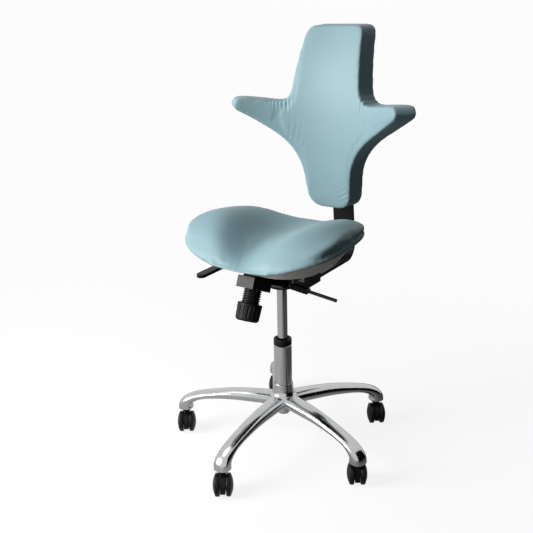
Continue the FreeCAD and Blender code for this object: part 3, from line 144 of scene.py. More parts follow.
# %% Leatherette
def make_leatherette():
    material, tree, output, place = start_material("polyurethane_leatherette")
    cloud = add(tree, "ShaderNodeTexNoise", {"Vector": place, "Scale": per_mm(140), "Detail": 3.0})
    pebble = add(tree, "ShaderNodeTexVoronoi", {"Vector": place, "Scale": per_mm(2.0)})
    pore = add(tree, "ShaderNodeTexNoise", {"Vector": place, "Scale": per_mm(0.8), "Detail": 2.0})
    tint = add(tree, "ShaderNodeMix", {
        "Factor": cloud.outputs["Fac"], "A": linear("#8FB0B8"), "B": linear("#9BBBC2")},
        data_type="RGBA")
    # painted shade: the valleys between the pebbles are darkened a little towards #6A8A90
    valley = add(tree, "ShaderNodeMapRange", {
        "Value": pebble.outputs["Distance"], "From Min": 0.2, "From Max": 0.9,
        "To Min": 0.0, "To Max": 0.16})
    shade = add(tree, "ShaderNodeMix", {
        "Factor": valley.outputs["Result"], "A": tint.outputs["Result"], "B": linear("#6A8A90")},
        data_type="RGBA")
    gloss = add(tree, "ShaderNodeMapRange", {
        "Value": pore.outputs["Fac"], "From Min": 0.3, "From Max": 0.7,
        "To Min": 0.48, "To Max": 0.60})
    skin = add(tree, "ShaderNodeMath", {0: pebble.outputs["Distance"], 1: -0.8},
               operation="MULTIPLY")
    relief = add(tree, "ShaderNodeMath", {0: skin.outputs["Value"], 1: pore.outputs["Fac"]},
                 operation="ADD")
    bump = add(tree, "ShaderNodeBump", {
        "Height": relief.outputs["Value"], "Strength": 0.10, "Distance": 0.0006})
    surface = add(tree, "ShaderNodeBsdfPrincipled", {
        "Base Color": shade.outputs["Result"], "Roughness": gloss.outputs["Result"], "IOR": 1.48,
        "Sheen Weight": 0.06, "Sheen Roughness": 0.4, "Normal": bump.outputs["Normal"]})
    tree.links.new(surface.outputs["BSDF"], output.inputs["Surface"])
    return material


leatherette = make_leatherette()
print("made", leatherette.name)

# %% [markdown]
# ## Seat pan: moulded polypropylene
# The cream tub under the seat is injection-moulded polypropylene. The mould is bead-blasted,
# which gives a matt satin skin. The cream varies a little where the melt flowed, so two close
# tones are mixed over a hand's breadth instead of one flat colour.

# %% Polypropylene
def make_polypropylene():
    material, tree, output, place = start_material("moulded_polypropylene")
    grit = add(tree, "ShaderNodeTexNoise", {"Vector": place, "Scale": per_mm(1.2), "Detail": 3.0})
    flow = add(tree, "ShaderNodeTexNoise", {"Vector": place, "Scale": per_mm(90), "Detail": 2.0})
    tint = add(tree, "ShaderNodeMix", {
        "Factor": flow.outputs["Fac"], "A": linear("#E4E1D9"), "B": linear("#EFEDE6")},
        data_type="RGBA")
    gloss = add(tree, "ShaderNodeMapRange", {
        "Value": grit.outputs["Fac"], "To Min": 0.38, "To Max": 0.54})
    bump = add(tree, "ShaderNodeBump", {
        "Height": grit.outputs["Fac"], "Strength": 0.08, "Distance": 0.0004})
    surface = add(tree, "ShaderNodeBsdfPrincipled", {
        "Base Color": tint.outputs["Result"], "Roughness": gloss.outputs["Result"], "IOR": 1.49,
        "Normal": bump.outputs["Normal"]})
    tree.links.new(surface.outputs["BSDF"], output.inputs["Surface"])
    return material


polypropylene = make_polypropylene()
print("made", polypropylene.name)

# %% [markdown]
# ## Black pieces: powder coat, nylon and polyurethane
# The mechanism and the back bar are steel with a baked black powder coat, which flows out to a
# faint orange peel. The knob, collar, paddle and caster hoods are glass-filled nylon, moulded
# with a spark-eroded grain that scatters the light. The wheels are a smoother, harder
# polyurethane. The three differ in grain and shine, not in colour, so one function makes them
# all. A Bevel node rounds their edges for the light, and the edges are rubbed a little paler.

# %% Black finishes
RUBBED_EDGE = "#2C2E2F"


def make_black(name, dark, pale, grain_mm, relief_mm, least_rough, most_rough, mirror):
    material, tree, output, place = start_material(name)
    grain = add(tree, "ShaderNodeTexNoise", {
        "Vector": place, "Scale": per_mm(grain_mm), "Detail": 4.0})
    dust = add(tree, "ShaderNodeTexNoise", {"Vector": place, "Scale": per_mm(38), "Detail": 5.0})
    edge = add(tree, "ShaderNodeBevel", {"Radius": 0.0012}, samples=4)
    faces = add(tree, "ShaderNodeNewGeometry")
    turn = add(tree, "ShaderNodeVectorMath", {
        0: edge.outputs["Normal"], 1: faces.outputs["Normal"]}, operation="DOT_PRODUCT")
    worn = add(tree, "ShaderNodeMapRange", {
        "Value": turn.outputs["Value"], "From Min": 0.99, "From Max": 0.85,
        "To Min": 0.0, "To Max": 0.35})
    tint = add(tree, "ShaderNodeMix", {
        "Factor": dust.outputs["Fac"], "A": linear(dark), "B": linear(pale)}, data_type="RGBA")
    rubbed = add(tree, "ShaderNodeMix", {
        "Factor": worn.outputs["Result"], "A": tint.outputs["Result"], "B": linear(RUBBED_EDGE)},
        data_type="RGBA")
    gloss = add(tree, "ShaderNodeMapRange", {
        "Value": grain.outputs["Fac"], "From Min": 0.3, "From Max": 0.7,
        "To Min": least_rough, "To Max": most_rough})
    bump = add(tree, "ShaderNodeBump", {
        "Height": grain.outputs["Fac"], "Strength": 0.25, "Distance": relief_mm / 1000,
        "Normal": edge.outputs["Normal"]})
    surface = add(tree, "ShaderNodeBsdfPrincipled", {
        "Base Color": rubbed.outputs["Result"], "Roughness": gloss.outputs["Result"], "IOR": 1.5,
        "Specular IOR Level": mirror, "Normal": bump.outputs["Normal"]})
    tree.links.new(surface.outputs["BSDF"], output.inputs["Surface"])
    return material


powder_coat = make_black("black_powder_coat", "#0C0D0D", "#151717", 1.6, 0.25, 0.34, 0.46, 0.22)
nylon = make_black("glass_filled_nylon", "#0A0B0B", "#121313", 0.9, 0.35, 0.40, 0.55, 0.18)
tread = make_black("caster_polyurethane", "#08090A", "#101112", 2.4, 0.10, 0.28, 0.40, 0.22)
print("made", powder_coat.name, nylon.name, tread.name)

# %% [markdown]
# ## Bright pieces: chrome, polished alloy and zinc plate
# The gas cylinder and its tube are hard-chromed steel, ground round before plating, so the
# reflection is sharp with hair-fine rings across the length. The star base is die-cast aluminium
# buffed on a wheel: brighter than it is sharp, with a slow waviness left by the buffing. The pins
# and screws are zinc-plated, a greyer and duller metal. Metals keep the default IOR, because
# their colour already says how they reflect.

# %% Metal finishes
MARK_MM = 1.5    # width of a grinding or buffing mark, before it is stretched


def make_metal(name, dark, pale, cloud_mm, stretch, relief_mm, least_rough, most_rough):
    material, tree, output, place = start_material(name)
    scaled = add(tree, "ShaderNodeVectorMath", {0: place, 1: stretch}, operation="MULTIPLY")
    marks = add(tree, "ShaderNodeTexNoise", {
        "Vector": scaled.outputs["Vector"], "Scale": per_mm(MARK_MM), "Detail": 3.0})
    wave = add(tree, "ShaderNodeTexNoise", {
        "Vector": place, "Scale": per_mm(cloud_mm), "Detail": 2.0})
    tint = add(tree, "ShaderNodeMix", {
        "Factor": wave.outputs["Fac"], "A": linear(dark), "B": linear(pale)}, data_type="RGBA")
    gloss = add(tree, "ShaderNodeMapRange", {
        "Value": marks.outputs["Fac"], "From Min": 0.3, "From Max": 0.7,
        "To Min": least_rough, "To Max": most_rough})
    bump = add(tree, "ShaderNodeBump", {
        "Height": wave.outputs["Fac"], "Strength": 0.15, "Distance": relief_mm / 1000})
    surface = add(tree, "ShaderNodeBsdfPrincipled", {
        "Base Color": tint.outputs["Result"], "Metallic": 1.0,
        "Roughness": gloss.outputs["Result"], "Normal": bump.outputs["Normal"]})
    tree.links.new(surface.outputs["BSDF"], output.inputs["Surface"])
    return material


chrome = make_metal(
    "hard_chrome", "#B6B7B8", "#C6C7C8", 60, (0.02, 0.02, 1.0), 0.02, 0.07, 0.14)
alloy = make_metal(
    "polished_cast_aluminium", "#B2B3B4", "#C8C9CA", 34, (0.05, 0.05, 0.05), 0.05, 0.13, 0.18)
zinc = make_metal(
    "zinc_plated_steel", "#9A9C9E", "#B4B5B6", 12, (1.0, 1.0, 0.1), 0.1, 0.28, 0.40)
print("made", chrome.name, alloy.name, zinc.name)

# %% [markdown]
# ## Finish for every solid
# Each solid of the frame takes the finish of what it is made of. A list of names per finish is
# easier to check than a material hidden in each piece. Whatever isn't listed is upholstery.

# %% Dress the solids
FINISHES = (
    (alloy, ("star_base",)),
    (chrome, ("column_tube", "gas_cylinder")),
    (nylon, ("guide_collar", "tension_knob", "tilt_paddle", "back_shell", "caster_hood")),
    (tread, ("caster_wheel",)),
    (polypropylene, ("seat_pan",)),
    (zinc, ("caster_stem", "caster_axle", "piston_rod", "thrust_washer", "thrust_bearing",
            "retaining_clip", "pivot_pin", "lever_pin", "release_button", "pan_screws",
            "clamp_bolt", "back_bolts")),
    (powder_coat, ("mechanism_housing", "tension_screw", "height_lever", "seat_plate",
                   "bar_carrier", "back_bracket", "back_bar")))


def finish_of(name):
    for material, starts in FINISHES:
        if name.startswith(starts):
            return material
    return leatherette


for name, solid in solids.items():
    solid.data.materials.clear()
    solid.data.materials.append(finish_of(name))
print("dressed", len(solids), "solids")

# %% [markdown]
# ## An even net for each pad
# A CAD skin is a few large faces and many slivers, which a cloth solver can't bend. Blender's
# voxel remesher lays an even net of small squares over any closed form, so each pad starts from
# such a net. A modifier only shows its result, so one helper makes it the piece's own mesh.

# %% Net helpers
NET_MM = 4.5    # width of a square in a pad's net


def apply_modifiers(piece):
    view = bpy.context.evaluated_depsgraph_get()
    skin = bpy.data.meshes.new_from_object(piece.evaluated_get(view))
    old = piece.data
    piece.modifiers.clear()
    piece.data = skin
    bpy.data.meshes.remove(old)


def even_net(piece):
    """Rebuilds a closed form's skin as an even net of squares."""
    remesh = piece.modifiers.new("net", "REMESH")
    remesh.mode = "VOXEL"
    remesh.voxel_size = NET_MM / 1000
    apply_modifiers(piece)


def smooth(piece, rounds):
    """Evens out a net by moving each point towards the middle of its neighbours."""
    soften = piece.modifiers.new("soften", "SMOOTH")
    soften.factor = 0.5
    soften.iterations = rounds
    apply_modifiers(piece)


def refine(piece):
    """Divides every square of a net in four, so that small folds have points to bend."""
    fine = piece.modifiers.new("fine", "SUBSURF")
    fine.levels = 1
    apply_modifiers(piece)


print("nets have squares of", NET_MM, "mm")

# %% [markdown]
# ## Stuffing
# A cushion is foam pulled tight under a cover: crowned, with its sides drawn in. Blender's cloth
# solver blows the net up a little from inside, with gravity off. A cap keeps every point near
# where it started, and the faces that rest on something are held still.

# %% Stuffing helper
STUFF_FRAMES = 18


def stuff(piece, held, cap_mm):
    """Swells a net with the cloth solver; held(point, normal) tells which points stay."""
    still = piece.vertex_groups.new(name="still")
    fixed = [v.index for v in piece.data.vertices if held(v.co, v.normal)]
    still.add(fixed, 1.0, "REPLACE")
    rest = [v.co.copy() for v in piece.data.vertices]
    cloth = piece.modifiers.new("cover", "CLOTH")
    cloth.settings.quality = 4
    cloth.settings.mass = 0.25
    cloth.settings.vertex_group_mass = "still"
    cloth.settings.use_pressure = True
    cloth.settings.uniform_pressure_force = 4.0
    cloth.settings.effector_weights.gravity = 0.0
    cloth.point_cache.frame_end = STUFF_FRAMES
    for number in range(1, STUFF_FRAMES + 1):
        scene.frame_set(number)
    apply_modifiers(piece)
    scene.frame_set(1)
    cap = cap_mm / 1000
    for vertex, start in zip(piece.data.vertices, rest):
        step = vertex.co - start
        if step.length > cap:
            vertex.co = start + step.normalized() * cap
    piece.vertex_groups.clear()
    return len(fixed)


print("the cover swells for", STUFF_FRAMES, "frames")

# %% [markdown]
# ## Folds and gathers
# Small folds could come from a far finer simulation. It is quicker and surer to press them into
# the net: a wave of known spacing, faded by bell curves around the place where the cover is
# gathered. All moves are worked out before any point moves, because Blender works out every
# normal anew after a change.

# %% Fold helpers
LEAST_FOLD = 0.02    # a fold fainter than this is left out


def bell(distance, reach):
    """1 at a place and fading to 0 beyond its reach."""
    return math.exp(-(distance / reach) ** 2)


def clamp(value):
    return max(0.0, min(1.0, value))


def ripple(run, spacing):
    """A wave between 0 and 2 that repeats every spacing."""
    return 1 + math.cos(2 * math.pi * run / spacing)


def fold(piece, depth_at):
    """Moves each point along its normal by depth_at(point, normal), both in millimetres."""
    moves = [v.normal * (depth_at(v.co * 1000, v.normal) / 1000) for v in piece.data.vertices]
    for vertex, move in zip(piece.data.vertices, moves):
        vertex.co += move


def finish_pad(piece, node, body):
    piece.data.materials.clear()
    piece.data.materials.append(leatherette)
    for face in piece.data.polygons:
        face.use_smooth = True
    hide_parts(node)
    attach(piece, body)
    print(piece.name, len(piece.data.vertices), "points in its net")


print("folds fainter than", LEAST_FOLD, "are left out")

# %% [markdown]
# ## The seat's lower edge
# Along each side of the seat the cover is drawn in between the upper roll and a thinner roll that
# goes round under the pan. That lower edge rises from the front to the middle, and it lifts over
# the front corners, where the cream pan shows. One function gives its height, so that the lift
# and the groove above it follow the same line. All sizes here are in millimetres.

# %% Seat edge
LIP_MIDDLE_Y, LIP_HALF_LENGTH = -9.0, 197.0
LIP_TOP, LIP_DROP = 617.0, 33.0
LIP_LIFT = 9.0
LIFT_TOP, LIFT_FADE = 628.0, 40.0      # no lift above this height, and full lift this far below it
CORNER_X, CORNER_Y = 152.0, -160.0


def lip_height(y):
    """Height of the cushion's lower edge at its sides."""
    share = min(1.0, abs(y - LIP_MIDDLE_Y) / LIP_HALF_LENGTH)
    return LIP_TOP - LIP_DROP * share ** 4


def front_corner(point):
    """1 at the seat's front corners and fading away from them."""
    return bell(abs(point.x) - CORNER_X, 66) * bell(point.y - CORNER_Y, 82)


def raise_lip(point):
    """How far the lower edge lifts over the front corners."""
    return LIP_LIFT * front_corner(point) * clamp((LIFT_TOP - point.z) / LIFT_FADE)


print("the seat's edge is %.0f mm up at the front" % lip_height(-200))

# %% [markdown]
# ## The seat's groove and gathers
# The cover shows three things: the groove above the lower roll, fine gathers along the sides and
# faint creases where it is pulled round the nose. Each is a function of its own, so that one can
# be changed without the others.

# %% Seat folds
GROOVE_DEEP, GROOVE_UP = 4.0, 18.0     # depth of the groove, and its height above the lower edge
ROLL_FULL, ROLL_UP = 1.5, 5.0          # fullness of the roll under it, and its height
GROOVE_WIDE = 9.0
SIDE_X, FRONT_X, FRONT_Y = 224.0, 190.0, -190.0
GROOVE_END, GROOVE_FADE = -30.0, 90.0  # no groove behind this Y, and a full one this far before it
GATHER_Z, GATHER_SPACING = 640.0, 9.5
NOSE_X, NOSE_Y, NOSE_Z, NOSE_SPACING = 55.0, -185.0, 588.0, 17.0


def seat_groove(point, normal):
    wall = math.hypot(normal.x, normal.y)
    around = max(bell(abs(point.x) - SIDE_X, 60),
                 bell(point.y - FRONT_Y, 40) * bell(abs(point.x) - FRONT_X, 90))
    around *= clamp((GROOVE_END - point.y) / GROOVE_FADE)
    above = point.z - lip_height(point.y) - 0.5 * LIP_LIFT * front_corner(point)
    return (ROLL_FULL * wall * around * bell(above - ROLL_UP, GROOVE_WIDE)
            - GROOVE_DEEP * wall * around * bell(above - GROOVE_UP, GROOVE_WIDE))


def side_gathers(point, normal):
    side = bell(point.z - GATHER_Z, 22) * max(0.0, abs(normal.x) - 0.25)
    if side <= LEAST_FOLD:
        return 0.0
    wander = noise.noise(point * 0.02) * 6
    return 0.45 * side * ripple(point.y + wander, GATHER_SPACING)


def nose_creases(point):
    front = (bell(point.z - NOSE_Z, 16) * bell(point.y - NOSE_Y, 40)
             * bell(abs(point.x) - NOSE_X, 50))
    if front <= LEAST_FOLD:
        return 0.0
    wander = noise.noise(point * 0.015) * 14
    return 0.2 * front * ripple(point.x * 0.8 + point.z * 0.5 + wander, NOSE_SPACING)


def seat_folds(point, normal):
    return seat_groove(point, normal) - side_gathers(point, normal) - nose_creases(point)


print("gathers every", GATHER_SPACING, "mm along the seat's sides")

# %% [markdown]
# ## Seat cushion
# The seat is a saddle: two raised thigh lobes with a channel between them, which run forwards and
# droop over the front of the pan. The CAD solid already has that form, so its own skin becomes
# the net that is stuffed and folded.

# %% Seat cushion
PAN_ROOM = 0.612     # height in metres under which the cushion's hollow takes the pan


def rests_on_pan(point, normal):
    return normal.z < -0.2 and point.z < PAN_ROOM


seat = bpy.data.objects.new("seat_upholstery", solids["seat_cushion"].data.copy())
scene.collection.objects.link(seat)
even_net(seat)
smooth(seat, 2)
print("held", stuff(seat, rests_on_pan, cap_mm=3.5), "points of the seat on its pan")
smooth(seat, 3)
for vertex in seat.data.vertices:
    vertex.co.z += raise_lip(vertex.co * 1000) / 1000
refine(seat)
fold(seat, seat_folds)
finish_pad(seat, "seat_cushion", "seat")

# %% [markdown]
# ## Cutting the back
# The backrest is one padded cross: a tall panel with a pointed wing at each side. An upholsterer
# cuts such a cross from flat foam of even depth and then bends it. We do the same, because a
# flat slab gives a net whose squares lie straight along its front, and so a smooth front face.

# %% Back slab
HALF_CROSS = (    # distance from the middle line, height, length that the round takes of each edge
    (91, 1136, 26), (117, 928, 46), (260, 946, 16), (269, 917, 16), (88, 800, 95), (70, 628, 48))
PAD_DEPTH = 66.0
FRONT_INSET = 2.0
ROUND_STEPS = 7
LONGEST_ROUND = 0.45    # most of an edge that one rounded corner may take


def rounded(corners):
    """Outline through corners (x, z, round) with each corner turned by an arc-like curve."""
    line = []
    for index, (x, z, radius) in enumerate(corners):
        here = Vector((x, z))
        ends = []
        for other in (corners[index - 1], corners[(index + 1) % len(corners)]):
            way = Vector(other[:2]) - here
            ends.append(here + way.normalized() * min(radius, way.length * LONGEST_ROUND))
        for step in range(ROUND_STEPS + 1):
            t = step / ROUND_STEPS
            line.append(ends[0] * (1 - t) ** 2 + here * (2 * t * (1 - t)) + ends[1] * t ** 2)
    return line


def sewn_slab(name):
    """The cross cut flat: X along the back, Y its depth, Z its height."""
    other_half = [(-x, z, radius) for x, z, radius in reversed(HALF_CROSS)]
    line = rounded(list(HALF_CROSS) + other_half)
    count = len(line)
    points = [(p.x / 1000, depth / 1000, p.y / 1000)
              for depth in (FRONT_INSET, PAD_DEPTH) for p in line]
    front = tuple(range(count - 1, -1, -1))
    rear = tuple(range(count, 2 * count))
    sides = [(i, (i + 1) % count, count + (i + 1) % count, count + i) for i in range(count)]
    mesh = bpy.data.meshes.new(name)
    mesh.from_pydata(points, [], [front, rear] + sides)
    slab = bpy.data.objects.new(name, mesh)
    scene.collection.objects.link(slab)
    return slab


cross = sewn_slab("back_upholstery")
print("cut a cross with", len(cross.data.vertices), "corners")

# %% [markdown]
# ## Bending the back
# The slab is bent round the sitter, so that the wings come forwards, and it leans away above and
# below the small of the back. A Bend modifier would do the first, but not both at once, so each
# point's place is worked out from its distance along the back, its depth and its height.

# %% Back bend
WRAP_RADIUS = 372.0
LUMBAR_Y, LUMBAR_Z = 236.0, 905.0
BACK_TOP, BACK_BOTTOM = 1136.0, 628.0
TOP_SETBACK, BOTTOM_SETBACK = 62.0, 32.0


def face_y(height):
    """Y of the back's front face on its middle line at a height, in millimetres."""
    if height > LUMBAR_Z:
        return LUMBAR_Y + TOP_SETBACK * ((height - LUMBAR_Z) / (BACK_TOP - LUMBAR_Z)) ** 2
    return LUMBAR_Y + BOTTOM_SETBACK * ((LUMBAR_Z - height) / (LUMBAR_Z - BACK_BOTTOM)) ** 2


def wrap(piece):
    """Bends a flat slab round the sitter's back and leans it as the solid does."""
    for vertex in piece.data.vertices:
        along, depth, height = vertex.co * 1000
        radius = WRAP_RADIUS + depth
        angle = math.asin(along / (WRAP_RADIUS + PAD_DEPTH / 2))
        axis_y = face_y(height) - WRAP_RADIUS
        vertex.co = Vector((radius * math.sin(angle), axis_y + radius * math.cos(angle),
                            height)) / 1000


print("the back's top leans %.0f mm behind the small of the back" % TOP_SETBACK)

# %% [markdown]
# ## The back's folds
# Where a wing meets the panel the cover has to turn an inner corner, and the spare cloth lies in
# short gathers on top of the wing. Slack folds run down the roots of the wings, and a few small
# ones lie at the lower corner on the sitter's left.

# %% Back folds
WING_TOP, WING_ROOT, WING_SPACING = 927.0, 116.0, 10.5
ROOT_Z, ROOT_OUT, ROOT_SPACING = 838.0, 98.0, 16.0
HEM_Z, HEM_ALONG, HEM_SPACING = 672.0, 52.0, 15.0


def round_back(point):
    """Distance along the wrapped back from its middle line, in millimetres."""
    return math.atan2(point.x, point.y - LUMBAR_Y + WRAP_RADIUS) * WRAP_RADIUS


def wing_gathers(point, out):
    reach = 14 if out < WING_ROOT else 42
    corner = bell(point.z - WING_TOP - 3, 17) * bell(out - WING_ROOT, reach)
    if corner <= LEAST_FOLD:
        return 0.0
    wander = noise.noise(point * 0.03) * 3
    return 1.1 * corner * ripple(out + wander, WING_SPACING)


def root_folds(point, normal, out):
    root = bell(point.z - ROOT_Z, 46) * bell(out - ROOT_OUT, 34) * max(0.0, -normal.y)
    if root <= LEAST_FOLD:
        return 0.0
    wander = noise.noise(point * 0.012) * 12
    return 0.25 * root * ripple(out + wander + point.z * 0.12, ROOT_SPACING)


def hem_folds(point, normal, along):
    hem = bell(point.z - HEM_Z, 26) * bell(along - HEM_ALONG, 24) * max(0.0, -normal.y)
    if hem <= LEAST_FOLD:
        return 0.0
    return 0.5 * hem * ripple(point.z - 0.6 * along, HEM_SPACING)


def back_folds(point, normal):
    along = round_back(point)
    out = abs(along)
    return (-wing_gathers(point, out) - root_folds(point, normal, out)
            - hem_folds(point, normal, along))


print("gathers every", WING_SPACING, "mm on the wings")

# %% [markdown]
# ## Back cushion
# Now the slab gets its net, is bent, stuffed and folded. The cap on the stuffing is small here:
# a looser cover fell into blotchy creases on the front, where the real one is pulled smooth.

# %% Back cushion
def rests_on_shell(point, normal):
    return normal.y > 0.6


even_net(cross)
smooth(cross, 2)
wrap(cross)
print("held", stuff(cross, rests_on_shell, cap_mm=1.0), "points of the back on its shell")
smooth(cross, 2)
refine(cross)
fold(cross, back_folds)
finish_pad(cross, "back_cushion", "back")

# %% [markdown]
# ## The arms of the star base
# The base is one aluminium casting: five arms that leave the hub level, droop, and turn down into
# a rounded foot over each caster. The solid's arms are a loft that meets the feet at sharp
# corners. Here each arm is swept through stations close to the solid's, with slightly fuller
# feet, on a smooth curve, so that the metal flows into the foot.

# %% Base arms
ARM_STATIONS = (    # distance from the axis, height, half width, rise of the top, drop of the sole
    (20, 133, 29, 20, 18), (80, 133, 25.8, 19, 18), (150, 130.5, 22.6, 16.5, 16),
    (220, 121, 20.8, 13, 12.5), (262, 110, 20.8, 13, 12), (286, 96, 21.8, 16, 13),
    (295, 83, 22.6, 20, 18), (296, 71.2, 22.4, 21.5, 20))
ARM_STEPS, ARM_POINTS = 6, 32
FOOT_START, FOOT_LENGTH = 255.0, 35.0
SIDE_POWER, TOP_POWER = 0.8, 0.85    # below 1 the section is squarer than an ellipse
SOLE_CUT = 0.38                      # share by which the sole is narrower than the arm


def smooth_rows(stations, steps):
    """Rows on a smooth curve through the given rows of numbers."""
    rows = []
    last = len(stations) - 1
    for i in range(last):
        quads = list(zip(stations[max(0, i - 1)], stations[i], stations[i + 1],
                         stations[min(last, i + 2)]))
        for step in range(steps):
            t = step / steps
            rows.append([0.5 * (2 * q + (r - p) * t + (2 * p - 5 * q + 4 * r - w) * t ** 2
                                + (3 * q - p - 3 * r + w) * t ** 3) for p, q, r, w in quads])
    rows.append(list(stations[-1]))
    return rows


def arm_rings(heading):
    """Rings of points round one arm, from the hub to the foot's underside."""
    rows = smooth_rows(ARM_STATIONS, ARM_STEPS)
    rings = []
    for index, (reach, height, half, rise, drop) in enumerate(rows):
        ahead, behind = rows[min(index + 1, len(rows) - 1)], rows[max(index - 1, 0)]
        run = Vector((ahead[0] - behind[0], ahead[1] - behind[1])).normalized()
        if index == len(rows) - 1:
            run = Vector((0, -1))
        foot = clamp((reach - FOOT_START) / FOOT_LENGTH)
        ring = []
        for step in range(ARM_POINTS):
            turn = 2 * math.pi * step / ARM_POINTS
            c, u = math.cos(turn), math.sin(turn)
            narrow = 1 - SOLE_CUT * max(0.0, -u) * (1 - foot)
            side = half * math.copysign(abs(c) ** SIDE_POWER, c) * narrow
            lift = (rise if u > 0 else drop) * math.copysign(abs(u) ** TOP_POWER, u)
            out, z = reach - run.y * lift, height + run.x * lift
            ring.append((out * math.cos(heading) - side * math.sin(heading),
                         out * math.sin(heading) + side * math.cos(heading), z))
        rings.append(ring)
    return rings


print("an arm has", len(smooth_rows(ARM_STATIONS, ARM_STEPS)), "rings")

# %% [markdown]
# ## Casting the base
# The hub is a turned form, so its profile is swung round the column as rings, like the arms. All
# six skins go into one mesh. They pass into each other at the hub, which doesn't show, and each
# keeps its own smooth shading, apart from the flat ends.

# %% Star base
ARM_COUNT, FIRST_ARM = 5, 270.0
HUB_PROFILE = ((25.3, 118), (29.5, 118.5), (30, 128), (37, 134), (41, 141), (38, 150), (32, 157),
               (28.6, 168), (27, 186), (25.3, 186))
HUB_STEPS, HUB_POINTS = 4, 72


def skin_rings(shell, rings, capped):
    """Adds a skin over rings of points, in millimetres, to a bmesh."""
    made = [[shell.verts.new(Vector(p) / 1000) for p in ring] for ring in rings]
    for first, second in zip(made, made[1:]):
        for i in range(len(first)):
            j = (i + 1) % len(first)
            shell.faces.new((first[i], first[j], second[j], second[i]))
    if capped:
        shell.faces.new(made[-1])
        shell.faces.new(list(reversed(made[0])))


cast = bmesh.new()
for arm in range(ARM_COUNT):
    skin_rings(cast, arm_rings(math.radians(FIRST_ARM + 360 / ARM_COUNT * arm)), capped=True)
turns = [math.radians(360 / HUB_POINTS * k) for k in range(HUB_POINTS)]
hub_rings = [[(r * math.cos(a), r * math.sin(a), z) for a in turns]
             for r, z in smooth_rows(HUB_PROFILE, HUB_STEPS)]
skin_rings(cast, hub_rings, capped=False)
bmesh.ops.recalc_face_normals(cast, faces=cast.faces[:])
for face in cast.faces:
    face.smooth = len(face.verts) == 4
base_mesh = bpy.data.meshes.new("cast_star")
cast.to_mesh(base_mesh)
cast.free()
base_mesh.materials.append(alloy)
base = bpy.data.objects.new("cast_star", base_mesh)
scene.collection.objects.link(base)
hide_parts("star_base")
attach(base, "base")
print("cast", len(base_mesh.vertices), "points")

# %% [markdown]
# ## Paper floor
# The studio is white paper. It is white to the eye because the camera sees a plain white there,
# not because more light falls on the stool; near the stool a part of the real paper shows through
# and keeps the shadow. For bounced light the paper is a mid grey, so that the sides that face
# away from the lamp go dark. Polished metal sees it bright on the left and dark on the right,
# because light and dark bands side by side are what makes a metal look like metal.

# %% Paper floor
PAPER_NEAR, PAPER_FAR = 0.5, 1.8          # metres from the column between which the shadow fades
BRIGHT_SIDE, DARK_SIDE = -0.30, 0.45      # metres across between which its reflection darkens
FLOOR_HALF = 40.0


def make_paper():
    material, tree, output, place = start_material("studio_paper")
    rays = add(tree, "ShaderNodeLightPath")
    fibre = add(tree, "ShaderNodeTexNoise", {"Vector": place, "Scale": per_mm(3.0), "Detail": 2.0})
    tint = add(tree, "ShaderNodeMix", {
        "Factor": fibre.outputs["Fac"], "A": linear("#F0F0F0"), "B": linear("#F8F8F8")},
        data_type="RGBA")
    far = add(tree, "ShaderNodeVectorMath", {0: place}, operation="LENGTH")
    share = add(tree, "ShaderNodeMapRange", {
        "Value": far.outputs["Value"], "From Min": PAPER_NEAR, "From Max": PAPER_FAR,
        "To Min": 0.80, "To Max": 1.0})
    power = add(tree, "ShaderNodeMapRange", {
        "Value": far.outputs["Value"], "From Min": PAPER_NEAR, "From Max": PAPER_FAR,
        "To Min": 1.08, "To Max": 0.974})
    paper = add(tree, "ShaderNodeBsdfPrincipled", {
        "Base Color": tint.outputs["Result"], "Roughness": 0.9})
    glow = add(tree, "ShaderNodeEmission", {
        "Color": linear("#FFFFFF"), "Strength": power.outputs["Result"]})
    looked_at = add(tree, "ShaderNodeMixShader", {
        0: share.outputs["Result"], 1: paper.outputs["BSDF"], 2: glow.outputs["Emission"]})
    across = add(tree, "ShaderNodeVectorMath", {0: place, 1: tuple(camera_right)},
                 operation="DOT_PRODUCT")
    # painted reflection: for mirrors the paper glows, brighter on the left and darker on the right
    sheen = add(tree, "ShaderNodeMapRange", {
        "Value": across.outputs["Value"], "From Min": BRIGHT_SIDE, "From Max": DARK_SIDE,
        "To Min": 0.66, "To Max": 0.10})
    mirror = add(tree, "ShaderNodeEmission", {
        "Color": linear("#FCFCFC"), "Strength": sheen.outputs["Result"]})
    mirrored = add(tree, "ShaderNodeMath", {
        0: rays.outputs["Is Glossy Ray"], 1: rays.outputs["Is Transmission Ray"]},
        operation="MAXIMUM")
    dull = add(tree, "ShaderNodeBsdfDiffuse", {"Color": linear("#868686")})
    unseen = add(tree, "ShaderNodeMixShader", {
        0: mirrored.outputs["Value"], 1: dull.outputs["BSDF"], 2: mirror.outputs["Emission"]})
    mixed = add(tree, "ShaderNodeMixShader", {
        0: rays.outputs["Is Camera Ray"], 1: unseen.outputs["Shader"],
        2: looked_at.outputs["Shader"]})
    tree.links.new(mixed.outputs["Shader"], output.inputs["Surface"])
    return material


def make_plane(name, centre, across, along, material):
    corners = [centre - across - along, centre + across - along,
               centre + across + along, centre - across + along]
    mesh = bpy.data.meshes.new(name)
    mesh.from_pydata([tuple(c) for c in corners], [], [(0, 1, 2, 3)])
    mesh.materials.append(material)
    plane = bpy.data.objects.new(name, mesh)
    scene.collection.objects.link(plane)
    plane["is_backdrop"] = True
    return plane


make_plane("floor_paper", Vector((0, 0, 0)), Vector((FLOOR_HALF, 0, 0)),
           Vector((0, FLOOR_HALF, 0)), make_paper())
print("laid", 2 * FLOOR_HALF, "m of paper")

# %% [markdown]
# ## Felt card
# Photographers stand a black card beside a bright object to give it a dark edge. Felt is the
# usual cover, because its nap swallows light at every angle. The card stands right of the stool,
# and the camera itself doesn't see it.

